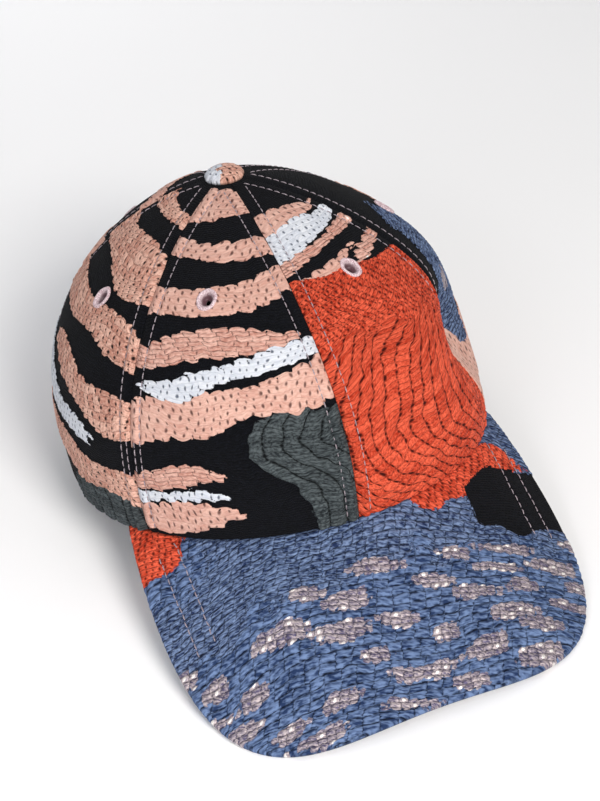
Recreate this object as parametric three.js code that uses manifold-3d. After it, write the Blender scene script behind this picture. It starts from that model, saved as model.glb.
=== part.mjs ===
// Six-panel soft cap with a curved brim, lying on a flat surface.
// Millimetres, +Z up. The brim points to -Y and the wearer's right side is -X.
// The crown is first described in its own frame, with its rim in the plane z = 0 and its axis
// upright, and is then tipped back until the back rim and the brim's corners meet the surface.

import * as THREE from 'three';
import Module from 'manifold-3d';

const wasm = await Module();
wasm.setup();

// Crown
const CROWN_HALF_WIDTH = 93.0;
const CROWN_HALF_LENGTH = 96.0;
const CROWN_HEIGHT = 111.0;
const CROWN_TOP_SHIFT = 22.8; // the top sits this far behind the middle of the rim
const PROFILE_HEIGHT_POWER = 2.88;
const PROFILE_RADIUS_POWER = 1.49;
const PROFILE_SWELL = 0.03;
const SEAM_DIP = 0.9; // how far the cloth sinks in along a seam
const CLOTH_THICKNESS = 1.8;
const SEAM_GAP = 0.3;
const TOP_OPENING_RADIUS = 3.0;

// Arch of the front of the rim, where the brim is sewn in
const ARCH_HEIGHT = 4.8;
const ARCH_END_DEG = 70.7;

// Main folds of the soft crown. Depth is positive outwards.
const FOLDS = [
  { name: 'hollow on the left front seam', angleDeg: 62.7, height: 0.22, angleSpreadDeg: 18.3, heightSpread: 0.14, depth: -16.5 },
  { name: 'swell above the left of the brim', angleDeg: 50.0, height: 0.12, angleSpreadDeg: 20.0, heightSpread: 0.10, depth: 4.7 },
  { name: 'slack behind the right side', angleDeg: -142.0, height: 0.24, angleSpreadDeg: 15.0, heightSpread: 0.17, depth: -2.6 },
  { name: 'slack at the back', angleDeg: 158.0, height: 0.30, angleSpreadDeg: 16.0, heightSpread: 0.18, depth: -3.4 },
];

// Brim
const BRIM_WIDTH = 181.8;
const BRIM_LENGTH = 64.9;
const BRIM_CORNER_POWER = 3.74;
const BRIM_BACK_Y = -44.0;
const BRIM_TAPER = 0.09;
const BRIM_FRONT_DROP = 44.3;
const BRIM_FRONT_CAMBER = 17.9;
const BRIM_THICKNESS = 3.6;
const BRIM_ROOT_END_DEG = 62.5;
const BRIM_EDGE_END = 0.03; // share of the brim's reach at which its side edge leaves the crown

// Panels, as the seams they lie between, counted in degrees from the front towards the wearer's left
const FRONT_SEAM_DEG = 56.0;
const BACK_SEAM_DEG = 118.0;
const PANELS = [
  { name: 'panel_front_left', fromDeg: 0, toDeg: FRONT_SEAM_DEG, colour: 0xc9502f },
  { name: 'panel_side_left', fromDeg: FRONT_SEAM_DEG, toDeg: BACK_SEAM_DEG, colour: 0x4d6288 },
  { name: 'panel_back_left', fromDeg: BACK_SEAM_DEG, toDeg: 180, colour: 0x1b1c24 },
  { name: 'panel_back_right', fromDeg: 180, toDeg: 360 - BACK_SEAM_DEG, colour: 0x1b1c24 },
  { name: 'panel_side_right', fromDeg: -BACK_SEAM_DEG, toDeg: -FRONT_SEAM_DEG, colour: 0xd9a592 },
  { name: 'panel_front_right', fromDeg: -FRONT_SEAM_DEG, toDeg: 0, colour: 0xd9a592 },
];
const PANEL_COLUMNS = 12;
const PANEL_ROWS = 18;

// Sewn eyelets, one to a panel. Height is the share of the way up the panel.
const EYELETS = [
  { name: 'eyelet_front_left', panel: 'panel_front_left', angleDeg: 26.5, height: 0.56 },
  { name: 'eyelet_side_left', panel: 'panel_side_left', angleDeg: 87.0, height: 0.535 },
  { name: 'eyelet_back_left', panel: 'panel_back_left', angleDeg: 149.0, height: 0.55 },
  { name: 'eyelet_back_right', panel: 'panel_back_right', angleDeg: 211.0, height: 0.55 },
  { name: 'eyelet_side_right', panel: 'panel_side_right', angleDeg: -80.5, height: 0.525 },
  { name: 'eyelet_front_right', panel: 'panel_front_right', angleDeg: -32.5, height: 0.572 },
];
const EYELET_HOLE_RADIUS = 0.9;
const EYELET_BARREL_RADIUS = 2.5;
const EYELET_OUTER_RADIUS = 4.6;
const EYELET_INNER_RADIUS = 3.8;
const EYELET_RISE = 0.7;
const EYELET_SEAT_GAP = 0.3;
const EYELET_BACK_GAP = 0.5;

// Covered button on top
const BUTTON_RADIUS = 8.8;
const BUTTON_HEIGHT = 4.6;
const BUTTON_SEAT_GAP = 0.35;

// Rest on the surface
const REST_TILT_DEG = 11.88;
const REST_SINK = 1.1; // cloth pressed flat where it carries the cap

const radians = THREE.MathUtils.degToRad;

function archHeight(x) {
  const archEnd = CROWN_HALF_WIDTH * Math.sin(radians(ARCH_END_DEG));
  return ARCH_HEIGHT * Math.max(0, 1 - (x / archEnd) ** 2);
}

function angleBetween(angle, other) {
  const turn = 2 * Math.PI;
  return ((angle - other + 3 * Math.PI) % turn + turn) % turn - Math.PI;
}

// Share of the full radius left at an angle and a height share, folds included.
function crownRadius(angle, height) {
  const level = Math.sin(Math.PI * height / 2);
  let radius = (1 - Math.min(level, 1) ** PROFILE_HEIGHT_POWER) ** (1 / PROFILE_RADIUS_POWER);
  radius *= 1 + PROFILE_SWELL * Math.sin(Math.PI * level);
  for (const fold of FOLDS) {
    const across = angleBetween(angle, radians(fold.angleDeg)) / radians(fold.angleSpreadDeg);
    const up = (height - fold.height) / fold.heightSpread;
    radius += fold.depth / 90 * Math.exp(-(across ** 2) - up ** 2);
  }
  return radius;
}

// Point on the outside of the crown. Angle 0 is the centre front; height runs from the rim, 0, to the top, 1.
function crownPoint(angle, height) {
  const level = Math.sin(Math.PI * height / 2);
  const radius = crownRadius(angle, height);
  const atFront = Math.cos(angle) > Math.cos(radians(ARCH_END_DEG));
  const base = atFront ? archHeight(CROWN_HALF_WIDTH * Math.sin(angle)) : 0;
  return new THREE.Vector3(
    CROWN_HALF_WIDTH * Math.sin(angle) * radius,
    -CROWN_HALF_LENGTH * Math.cos(angle) * radius + CROWN_TOP_SHIFT * level ** 2,
    base + (CROWN_HEIGHT - base) * level,
  );
}

function crownNormal(angle, height) {
  const step = 0.004;
  const lower = Math.max(0, height - step);
  const across = crownPoint(angle + step, height).sub(crownPoint(angle - step, height));
  const up = crownPoint(angle, height + step).sub(crownPoint(angle, lower));
  return across.cross(up).normalize();
}

// Tips the cap back about the back of its rim, lowers it on to the surface and presses the cloth flat there.
const restTurn = new THREE.Quaternion().setFromAxisAngle(new THREE.Vector3(1, 0, 0), -radians(REST_TILT_DEG));
const backOfRim = new THREE.Vector3(0, CROWN_HALF_LENGTH, 0);

function settled(point) {
  const placed = point.clone().sub(backOfRim).applyQuaternion(restTurn).add(backOfRim);
  placed.z -= REST_SINK;
  return placed;
}

function settledOnSurface(point) {
  const placed = settled(point);
  placed.z = Math.max(placed.z, 0);
  return placed;
}

// Closed shell between two grids of points, with a wall all round its border.
function shellGeometry(columns, rows, outerPoint, innerPoint) {
  const positions = [];
  const triangles = [];
  const perSide = (columns + 1) * (rows + 1);
  for (const surfacePoint of [outerPoint, innerPoint]) {
    for (let row = 0; row <= rows; row += 1) {
      for (let column = 0; column <= columns; column += 1) {
        positions.push(...surfacePoint(column, row).toArray());
      }
    }
  }
  const outer = (column, row) => row * (columns + 1) + column;
  const inner = (column, row) => perSide + outer(column, row);
  const quad = (a, b, c, d) => triangles.push(a, b, c, a, c, d);
  for (let row = 0; row < rows; row += 1) {
    for (let column = 0; column < columns; column += 1) {
      quad(outer(column, row), outer(column + 1, row), outer(column + 1, row + 1), outer(column, row + 1));
      quad(inner(column, row), inner(column, row + 1), inner(column + 1, row + 1), inner(column + 1, row));
    }
  }
  for (let column = 0; column < columns; column += 1) {
    quad(outer(column, 0), inner(column, 0), inner(column + 1, 0), outer(column + 1, 0));
    quad(outer(column, rows), outer(column + 1, rows), inner(column + 1, rows), inner(column, rows));
  }
  for (let row = 0; row < rows; row += 1) {
    quad(outer(0, row), outer(0, row + 1), inner(0, row + 1), inner(0, row));
    quad(outer(columns, row), inner(columns, row), inner(columns, row + 1), outer(columns, row + 1));
  }
  const geometry = new THREE.BufferGeometry();
  geometry.setAttribute('position', new THREE.Float32BufferAttribute(positions, 3));
  geometry.setIndex(triangles);
  return geometry;
}

function toSolid(geometry) {
  return new wasm.Manifold(new wasm.Mesh({
    numProp: 3,
    vertProperties: new Float32Array(geometry.attributes.position.array),
    triVerts: new Uint32Array(geometry.index.array),
  }));
}

function toGeometry(solid) {
  const mesh = solid.getMesh();
  const geometry = new THREE.BufferGeometry();
  geometry.setAttribute('position', new THREE.Float32BufferAttribute(mesh.vertProperties, 3));
  geometry.setIndex(Array.from(mesh.triVerts));
  return geometry;
}

// Highest height share at which the panels still leave the small opening under the button.
function topHeight() {
  let height = 1;
  while (CROWN_HALF_WIDTH * crownRadius(0, height) < TOP_OPENING_RADIUS) {
    height -= 0.0005;
  }
  return height;
}

const PANEL_TOP = topHeight();

// One cloth gore from seam to seam, drawn in a little at both seams.
function panelGeometry(panel) {
  const place = (column, row, depth) => {
    const height = PANEL_TOP * row / PANEL_ROWS;
    const halfGap = SEAM_GAP / 2 / (CROWN_HALF_WIDTH * crownRadius(radians(panel.fromDeg), height));
    const from = radians(panel.fromDeg) + halfGap;
    const to = radians(panel.toDeg) - halfGap;
    const angle = from + (to - from) * column / PANEL_COLUMNS;
    const atSeam = column === 0 || column === PANEL_COLUMNS;
    const dip = atSeam ? SEAM_DIP * (1 - (row / PANEL_ROWS) ** 4) : 0;
    const normal = crownNormal(angle, height);
    return settledOnSurface(crownPoint(angle, height).addScaledVector(normal, -depth - dip));
  };
  return shellGeometry(
    PANEL_COLUMNS,
    PANEL_ROWS,
    (column, row) => place(column, row, 0),
    (column, row) => place(column, row, CLOTH_THICKNESS),
  );
}

// Position and turn of something sewn on the crown, with its own +Z pointing out of the cloth.
function seatOnCrown(angle, height) {
  const outwards = crownNormal(angle, height).applyQuaternion(restTurn);
  return {
    position: settled(crownPoint(angle, height)),
    quaternion: new THREE.Quaternion().setFromUnitVectors(new THREE.Vector3(0, 0, 1), outwards),
  };
}

function place(object, seat) {
  object.position.copy(seat.position);
  object.quaternion.copy(seat.quaternion);
}

// Ring of thread round a sewn hole: a raised rim, a hollow middle and a small hole, wrapped over both faces.
function eyeletGeometry() {
  const below = -CLOTH_THICKNESS - EYELET_BACK_GAP;
  const profile = [
    [EYELET_HOLE_RADIUS, below - 0.3],
    [EYELET_HOLE_RADIUS + 0.6, below - 0.7],
    [EYELET_INNER_RADIUS - 0.4, below - 0.6],
    [EYELET_INNER_RADIUS, below],
    [EYELET_BARREL_RADIUS, below],
    [EYELET_BARREL_RADIUS, EYELET_SEAT_GAP],
    [EYELET_OUTER_RADIUS, EYELET_SEAT_GAP],
    [EYELET_OUTER_RADIUS - 0.2, EYELET_RISE],
    [EYELET_BARREL_RADIUS + 0.9, EYELET_SEAT_GAP + EYELET_RISE],
    [EYELET_BARREL_RADIUS, EYELET_RISE],
    [EYELET_HOLE_RADIUS + 0.5, -0.7],
    [EYELET_HOLE_RADIUS, -1.2],
    [EYELET_HOLE_RADIUS, below - 0.3],
  ];
  const points = profile.map(([radius, level]) => new THREE.Vector2(radius, level));
  return new THREE.LatheGeometry(points, 20).rotateX(Math.PI / 2);
}

// Cuts the sewn hole through a panel where its eyelet sits.
function pierced(geometry, eyelet) {
  const drill = new THREE.CylinderGeometry(1, 1, 12, 20).rotateX(Math.PI / 2);
  const radius = EYELET_BARREL_RADIUS + SEAM_GAP;
  drill.scale(radius, radius, 1);
  drill.applyMatrix4(new THREE.Matrix4().makeRotationFromQuaternion(eyelet.seat.quaternion).setPosition(eyelet.seat.position));
  return toGeometry(toSolid(geometry).subtract(toSolid(welded(drill))));
}

// Merges the doubled vertices that ready-made shapes have along their seams and caps.
function welded(geometry) {
  const keys = new Map();
  const positions = [];
  const remap = [];
  const source = geometry.attributes.position;
  for (let index = 0; index < source.count; index += 1) {
    const point = [source.getX(index), source.getY(index), source.getZ(index)];
    const key = point.map((value) => Math.round(value * 1e4)).join(',');
    if (!keys.has(key)) {
      keys.set(key, positions.length / 3);
      positions.push(...point);
    }
    remap.push(keys.get(key));
  }
  const triangles = [];
  for (let index = 0; index < geometry.index.count; index += 3) {
    const corners = [0, 1, 2].map((offset) => remap[geometry.index.getX(index + offset)]);
    if (new Set(corners).size === 3) {
      triangles.push(...corners);
    }
  }
  const merged = new THREE.BufferGeometry();
  merged.setAttribute('position', new THREE.Float32BufferAttribute(positions, 3));
  merged.setIndex(triangles);
  return merged;
}

// Domed button whose hollow underside follows the top of the crown.
function buttonGeometry() {
  const steps = 6;
  const crest = (radius) => -CROWN_HEIGHT * (radius / CROWN_HALF_WIDTH) ** PROFILE_RADIUS_POWER / PROFILE_HEIGHT_POWER;
  const points = [];
  for (let step = 0; step <= steps; step += 1) {
    const radius = BUTTON_RADIUS * step / steps;
    points.push(new THREE.Vector2(radius, crest(radius) + BUTTON_SEAT_GAP));
  }
  for (let step = 1; step <= steps; step += 1) {
    const turn = Math.PI / 2 * step / steps;
    const radius = step === steps ? 0 : BUTTON_RADIUS * Math.cos(turn);
    const rimLevel = crest(BUTTON_RADIUS) + BUTTON_SEAT_GAP + 0.8;
    points.push(new THREE.Vector2(radius, rimLevel + (BUTTON_HEIGHT - rimLevel) * Math.sin(turn)));
  }
  return new THREE.LatheGeometry(points, 24).rotateX(Math.PI / 2);
}

// Outline of the brim seen from above, with its height. Turn runs from -90 degrees, right, to 90, left.
function brimOutline(turn) {
  const side = Math.sin(turn);
  const reach = Math.abs(Math.cos(turn)) ** (2 / BRIM_CORNER_POWER);
  const spread = Math.sign(side) * Math.abs(side) ** (2 / BRIM_CORNER_POWER);
  const x = BRIM_WIDTH / 2 * spread * (1 - BRIM_TAPER * Math.exp(-3 * reach));
  const frontY = -CROWN_HALF_LENGTH - BRIM_LENGTH;
  const middle = ARCH_HEIGHT - (BRIM_FRONT_DROP + ARCH_HEIGHT) * reach;
  const camber = ARCH_HEIGHT + (BRIM_FRONT_CAMBER - ARCH_HEIGHT) * reach;
  return new THREE.Vector3(
    x,
    BRIM_BACK_Y + (frontY - BRIM_BACK_Y) * reach,
    middle - camber * (x / (BRIM_WIDTH / 2)) ** 2,
  );
}

// Points at even distances along a line in space.
function evenPoints(linePoint, count) {
  const samples = 800;
  const points = [];
  const lengths = [0];
  for (let sample = 0; sample <= samples; sample += 1) {
    points.push(linePoint(sample / samples));
    if (sample > 0) {
      lengths.push(lengths[sample - 1] + points[sample].distanceTo(points[sample - 1]));
    }
  }
  const even = [];
  let sample = 0;
  for (let step = 0; step <= count; step += 1) {
    const target = lengths[samples] * step / count;
    while (sample < samples - 1 && lengths[sample + 1] < target) {
      sample += 1;
    }
    const share = (target - lengths[sample]) / (lengths[sample + 1] - lengths[sample]);
    even.push(points[sample].clone().lerp(points[sample + 1], share));
  }
  return even;
}

const BRIM_COLUMNS = 40;
const BRIM_SPANS = 8;
const BRIM_ROUND_STEPS = 2;

function brimGeometry() {
  const lastTurn = Math.acos(BRIM_EDGE_END ** (BRIM_CORNER_POWER / 2));
  const edge = evenPoints((share) => brimOutline(lastTurn * (2 * share - 1)), BRIM_COLUMNS);
  const rootAngle = (share) => radians(BRIM_ROOT_END_DEG) * (2 * share - 1);
  const lowered = new THREE.Vector3(0, 0, SEAM_GAP);
  const root = evenPoints((share) => crownPoint(rootAngle(share), 0).sub(lowered), BRIM_COLUMNS);
  const halfThickness = BRIM_THICKNESS / 2;
  const columnFrames = root.map((rootPoint, column) => {
    const outwards = edge[column].clone().sub(rootPoint).normalize();
    const before = Math.max(column - 1, 0);
    const after = Math.min(column + 1, BRIM_COLUMNS);
    const along = root[after].clone().add(edge[after]).sub(root[before]).sub(edge[before]).normalize();
    const up = along.clone().cross(outwards).normalize();
    if (up.z < 0) {
      up.negate();
    }
    const end = edge[column].clone().addScaledVector(outwards, -halfThickness);
    const level = new THREE.Vector3(-rootPoint.x, -rootPoint.y, 0).normalize();
    const hidden = rootPoint.clone().addScaledVector(level, CLOTH_THICKNESS);
    return { rootPoint, hidden, end, outwards, up };
  });
  const rows = BRIM_SPANS + 1 + BRIM_ROUND_STEPS;
  const sectionPoint = (column, row, face) => {
    const frame = columnFrames[column];
    const below = face === 'top' ? 0 : BRIM_THICKNESS;
    if (row === 0) {
      return frame.hidden.clone().addScaledVector(frame.up, -below);
    }
    if (row <= BRIM_SPANS + 1) {
      const share = (row - 1) / BRIM_SPANS;
      return frame.rootPoint.clone().lerp(frame.end, share).addScaledVector(frame.up, -below);
    }
    const round = (row - BRIM_SPANS - 1) / BRIM_ROUND_STEPS * radians(75);
    const lift = face === 'top' ? Math.cos(round) : -Math.cos(round);
    return frame.end.clone()
      .addScaledVector(frame.up, -halfThickness + halfThickness * lift)
      .addScaledVector(frame.outwards, halfThickness * Math.sin(round));
  };
  return shellGeometry(
    BRIM_COLUMNS,
    rows,
    (column, row) => settledOnSurface(sectionPoint(BRIM_COLUMNS - column, row, 'top')),
    (column, row) => settledOnSurface(sectionPoint(BRIM_COLUMNS - column, row, 'bottom')),
  );
}

function clothMesh(name, geometry, colour) {
  geometry.computeVertexNormals();
  const material = new THREE.MeshStandardMaterial({ color: colour, roughness: 0.9, metalness: 0 });
  const mesh = new THREE.Mesh(geometry, material);
  mesh.name = name;
  return mesh;
}

const cap = new THREE.Group();
const eyelets = EYELETS.map((eyelet) => ({ ...eyelet, seat: seatOnCrown(radians(eyelet.angleDeg), eyelet.height) }));

for (const panel of PANELS) {
  const eyelet = eyelets.find((candidate) => candidate.panel === panel.name);
  cap.add(clothMesh(panel.name, pierced(panelGeometry(panel), eyelet), panel.colour));
}

cap.add(clothMesh('brim', brimGeometry(), 0x53688f));

const button = clothMesh('button', buttonGeometry(), 0xdcc3ba);
place(button, { position: settled(crownPoint(0, 1)), quaternion: restTurn });
cap.add(button);

for (const eyelet of eyelets) {
  const ring = clothMesh(eyelet.name, eyeletGeometry(), 0xc9a3a0);
  place(ring, eyelet.seat);
  cap.add(ring);
}

// The origin is under the middle of the cap, on the surface it lies on.
const bounds = new THREE.Box3().setFromObject(cap, true);
const middle = bounds.getCenter(new THREE.Vector3());
cap.position.set(-middle.x, -middle.y, 0);
cap.updateMatrixWorld(true);

export default cap;
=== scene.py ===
"""Looks of a six-panel cap in thick patterned jacquard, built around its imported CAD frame.

All shapes are worked out in millimetres in the crown's own frame, with the rim level and the crown's
axis upright. One step then tips them back on to the surface, as the cap lies, and turns them to metres.
"""

import logging
from collections.abc import Sequence
from dataclasses import dataclass
from enum import Enum

import bpy
import numpy as np
from mathutils import Matrix

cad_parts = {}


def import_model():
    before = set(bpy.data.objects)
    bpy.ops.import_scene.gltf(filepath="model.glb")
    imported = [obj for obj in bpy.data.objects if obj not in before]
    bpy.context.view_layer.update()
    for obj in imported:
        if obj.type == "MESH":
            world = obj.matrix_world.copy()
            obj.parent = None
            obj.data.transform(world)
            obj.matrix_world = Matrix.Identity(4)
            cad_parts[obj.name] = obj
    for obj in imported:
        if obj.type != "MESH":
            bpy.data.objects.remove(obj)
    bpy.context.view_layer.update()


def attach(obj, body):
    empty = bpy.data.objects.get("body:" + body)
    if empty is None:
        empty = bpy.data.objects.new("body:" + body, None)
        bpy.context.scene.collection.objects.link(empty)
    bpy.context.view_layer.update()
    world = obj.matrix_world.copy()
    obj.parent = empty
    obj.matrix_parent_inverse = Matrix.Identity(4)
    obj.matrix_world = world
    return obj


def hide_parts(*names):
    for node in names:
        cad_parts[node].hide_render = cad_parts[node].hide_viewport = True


Array = np.ndarray
Socket = bpy.types.NodeSocket

BODY = "root"
METRES = 0.001
FINE_STEP = 0.53  # spacing of the outer cloth grid
INNER_STEP = 4  # the hidden inner face keeps every fourth grid line
OFF_FIELD = -9.0  # a pattern field's value where its weave is nowhere near
ROW_JITTER = 0.618
EYELET_STRETCH = 1.13  # up the crown, and as much narrower across
PI = np.pi

log = logging.getLogger("cap")


# Small helpers


def linear(hex_colour: str) -> tuple[float, float, float, float]:
    """Turns an sRGB hex colour into linear red, green, blue and alpha.

    Args:
        hex_colour: Six hex digits after a number sign.

    Returns:
        The linear colour with alpha 1.
    """
    shares = [int(hex_colour[place : place + 2], 16) / 255 for place in (1, 3, 5)]
    red, green, blue = (s / 12.92 if s <= 0.04045 else ((s + 0.055) / 1.055) ** 2.4 for s in shares)
    return (red, green, blue, 1.0)


def smooth(low: float, high: float, value: Array) -> Array:
    """Rises smoothly from 0 where value is low to 1 where it is high."""
    share = np.clip((value - low) / (high - low), 0, 1)
    return share * share * (3 - 2 * share)


def unit(vectors: Array) -> Array:
    """Scales every vector to length 1."""
    return vectors / np.maximum(np.linalg.norm(vectors, axis=-1, keepdims=True), 1e-9)


def drift(place: Array, size: float, seed: int) -> Array:
    """Slow uneven wander over the cloth, about 1 in size and 0 on average.

    It is the sum of seven sine waves with seeded directions, lengths near size and phases.

    Args:
        place: Coordinates across and up in millimetres on the last axis.
        size: Typical length of a wave in millimetres.
        seed: Seed of the random source.

    Returns:
        One number for each place.
    """
    source = np.random.default_rng(seed)
    total = np.zeros(place.shape[:-1])
    for _ in range(7):
        way, phase = source.uniform(0, 2 * PI, 2)
        pace = 2 * PI / size * source.uniform(0.65, 1.5)
        line = np.cos(way) * place[..., 0] + np.sin(way) * place[..., 1]
        total += np.sin(pace * line + phase)
    return total / np.sqrt(3.5)


def add_node(tree: bpy.types.NodeTree, kind: str, inputs: dict | None = None, **settings) -> bpy.types.Node:
    """Adds a node, sets its properties and feeds its sockets.

    Args:
        tree: The node tree that gets the node.
        kind: Blender's name for the node's kind.
        inputs: A value or another node's socket for each socket named or numbered.
        **settings: Properties of the node itself.

    Returns:
        The new node.
    """
    node = tree.nodes.new(kind)
    for name, value in settings.items():
        setattr(node, name, value)
    for name, value in (inputs or {}).items():
        if isinstance(value, Socket):
            tree.links.new(value, node.inputs[name])
        else:
            node.inputs[name].default_value = value
    return node


# Meshes


def shell_faces(columns: int, rows: int, step: int) -> tuple[Array, Array]:
    """Faces of a closed shell whose outer face is a fine grid and whose inner face is a coarse one.

    Outer points come first, row by row, and then the inner ones. A wall of triangles closes each of the
    four borders, fanned from the coarse points to the fine ones.

    Args:
        columns: Spaces between the outer grid's columns, a multiple of step.
        rows: Spaces between the outer grid's rows, a multiple of step.
        step: How many outer spaces one inner space takes.

    Returns:
        The four-cornered and the three-cornered faces, as point numbers.
    """
    outer = np.arange((columns + 1) * (rows + 1)).reshape(rows + 1, columns + 1)
    inner_shape = (rows // step + 1, columns // step + 1)
    inner = outer.size + np.arange(inner_shape[0] * inner_shape[1]).reshape(inner_shape)

    def grid_quads(grid: Array) -> Array:
        """Joins each grid point to its neighbours."""
        corners = (grid[:-1, :-1], grid[:-1, 1:], grid[1:, 1:], grid[1:, :-1])
        return np.stack(corners, -1).reshape(-1, 4)

    walls = []
    borders = (
        (outer[0], inner[0]),
        (outer[:, -1], inner[:, -1]),
        (outer[-1, ::-1], inner[-1, ::-1]),
        (outer[::-1, 0], inner[::-1, 0]),
    )
    for fine, coarse in borders:
        starts = fine[:-1].reshape(-1, step)
        ends = fine[1:].reshape(-1, step)
        late = np.arange(step) >= step // 2
        apex = np.where(late[None, :], coarse[1:, None], coarse[:-1, None])
        walls.append(np.stack((ends, starts, apex), -1).reshape(-1, 3))
        walls.append(np.stack((starts[:, step // 2], coarse[:-1], coarse[1:]), -1))
    quads = np.concatenate((grid_quads(outer), grid_quads(inner)[:, ::-1]))
    return quads, np.concatenate(walls)


def ring_faces(rings: int, around: int, closed: bool) -> tuple[Array, Array]:
    """Faces of a turned shape whose points lie in rings.

    Args:
        rings: Number of rings.
        around: Points in each ring.
        closed: True where the last ring joins the first, False where a point closes each end. Those two
            points are numbered after the rings, start first.

    Returns:
        The four-cornered and the three-cornered faces, as point numbers.
    """
    grid = np.arange(rings * around).reshape(rings, around)
    following = np.roll(grid, -1, axis=1)
    lower, upper = (np.arange(rings), np.roll(np.arange(rings), -1)) if closed else (
        np.arange(rings - 1),
        np.arange(1, rings),
    )
    corners = (grid[lower], following[lower], following[upper], grid[upper])
    quads = np.stack(corners, -1).reshape(-1, 4)
    if closed:
        return quads, np.zeros((0, 3), int)
    start, end = rings * around, rings * around + 1
    first = np.stack((following[0], grid[0], np.full(around, start)), -1)
    last = np.stack((grid[-1], following[-1], np.full(around, end)), -1)
    return quads, np.concatenate((first, last))


def volume(points: Array, quads: Array, triangles: Array) -> float:
    """Signed volume of a closed mesh, positive where its faces point outwards."""
    split = np.concatenate((quads[:, [0, 1, 2]], quads[:, [0, 2, 3]], triangles))
    a, b, c = (points[split[:, corner]] for corner in range(3))
    return float((a * np.cross(b, c)).sum() / 6)


def make_piece(
    name: str,
    points: Array,
    faces: tuple[Array, Array],
    marks: dict[str, Array] | None = None,
) -> bpy.types.Object:
    """Puts a closed mesh into the scene with its faces pointing outwards.

    Args:
        name: The piece's name.
        points: Points in metres, in the row frame.
        faces: Four-cornered and three-cornered faces.
        marks: Attributes by name, one number or one vector for each point.

    Returns:
        The new object, at the origin.
    """
    quads, triangles = faces
    if volume(points, quads, triangles) < 0:
        quads, triangles = quads[:, ::-1], triangles[:, ::-1]
    mesh = bpy.data.meshes.new(name)
    mesh.from_pydata(points.tolist(), [], quads.tolist() + triangles.tolist(), shade_flat=False)
    for mark, values in (marks or {}).items():
        kind, key = ("FLOAT", "value") if values.ndim == 1 else ("FLOAT_VECTOR", "vector")
        attribute = mesh.attributes.new(mark, kind, "POINT")
        attribute.data.foreach_set(key, np.ascontiguousarray(values, np.float32).ravel())
    mesh.update()
    piece = bpy.data.objects.new(name, mesh)
    bpy.context.scene.collection.objects.link(piece)
    return piece


# Weaves and where they lie


class Course(Enum):
    """Which coordinates a weave's rows follow. The value names the mesh attribute that holds them."""

    CLOTH = "cloth"
    CHANNELS = "channels"


class Outline(Enum):
    """How the edge of a weave runs: ragged by single threads, or round whole bricks."""

    THREADS = "threads"
    BRICKS = "bricks"


@dataclass(frozen=True)
class Weave:
    """One figure weave of the jacquard: floats of thread tied down on a lattice of brick-like cells.

    Sizes are millimetres. The place up, divided by the cell's height, counts the rows. The place across,
    divided by its width and moved on for every row, counts the joints. Ties stand at half the height of
    a row, evenly spread from joint to joint. A depth is the share of the joint colour that shows at
    the middle of a line or a tie. The bricks' swell is a half circle from joint to joint.
    """

    key: str
    light: str
    dark: str
    joint: str
    cell: tuple[float, float]
    shift: float = 0.5  # how far each row is moved on, in cells
    jumble: float = 0.0  # further uneven shift of the rows, in cells
    lean: float = 0.0  # how far a joint leans over the height of a row, in cells
    bank: float = 0.0  # how steeply the rows rise
    joint_half: float = 0.2
    joint_depth: float = 0.0
    row_half: float = 0.15
    row_depth: float = 0.0
    ties: int = 0  # for each cell
    tie: tuple[float, float] = (0.3, 0.55)  # half width and half height
    tie_depth: float = 0.9
    scatter: float = 0.0  # how far ties stray from their places, in their own half sizes
    broken: float = 0.0  # how much of the lines is lost in places
    lift: float = 0.0
    puff: float = 0.2
    quilt: float = 0.0  # how far cells swell between their joints
    tint: float = 0.2  # how far cells differ in tone
    grain: float = 0.3  # how far strands differ in tone
    strand: tuple[float, float] = (2.4, 0.5)  # length and width of a strand's streak
    slope: float = 0.0  # how steeply the strands rise
    roughness: float = 0.7
    course: Course = Course.CLOTH
    outline: Outline = Outline.THREADS
    ragged: float = 0.45
    metallic: float = 0.0
    painted_glint_share: float = 0.0  # share of the cells that hold a round painted highlight, a glint

    @property
    def field(self) -> str:
        """Name of the attribute that says where this weave lies."""
        return f"field_{self.key}"

    def row_shift(self, row: Array) -> Array:
        """How far rows are moved on, in cells."""
        return row * self.shift + np.mod(row * ROW_JITTER, 1) * self.jumble

    def lattice(self, place: Array) -> tuple[Array, Array]:
        """Counts cells and rows, with fractions, at places on the cloth."""
        row_place = (place[..., 1] - self.bank * place[..., 0]) / self.cell[1]
        row = np.floor(row_place)
        across = place[..., 0] / self.cell[0] + self.row_shift(row) + self.lean * (row_place - row)
        return across, row_place

    def height(self, place: Array) -> Array:
        """How far the weave stands above the ground weave.

        The rise is lift, plus puff less a bell-shaped dip at the joints and row lines, plus quilt times
        the height of a half circle that spans a cell from joint to joint.

        Args:
            place: Cloth coordinates across and up, in millimetres, on the last axis.

        Returns:
            Height in millimetres for each place.
        """
        across, row_place = self.lattice(place)
        joint_gap = np.abs(across - np.round(across)) * self.cell[0]
        row_gap = np.abs(row_place - np.round(row_place)) * self.cell[1]
        joint = min(1.0, 1.3 * self.joint_depth) * np.exp(-((joint_gap / (self.joint_half + 0.35)) ** 2))
        line = min(1.0, 1.3 * self.row_depth) * np.exp(-((row_gap / (self.row_half + 0.35)) ** 2))
        bulge = np.sqrt(1 - (1 - 2 * joint_gap / self.cell[0]) ** 2)
        return self.lift + self.puff * (1 - np.maximum(joint, line)) + self.quilt * bulge


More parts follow.
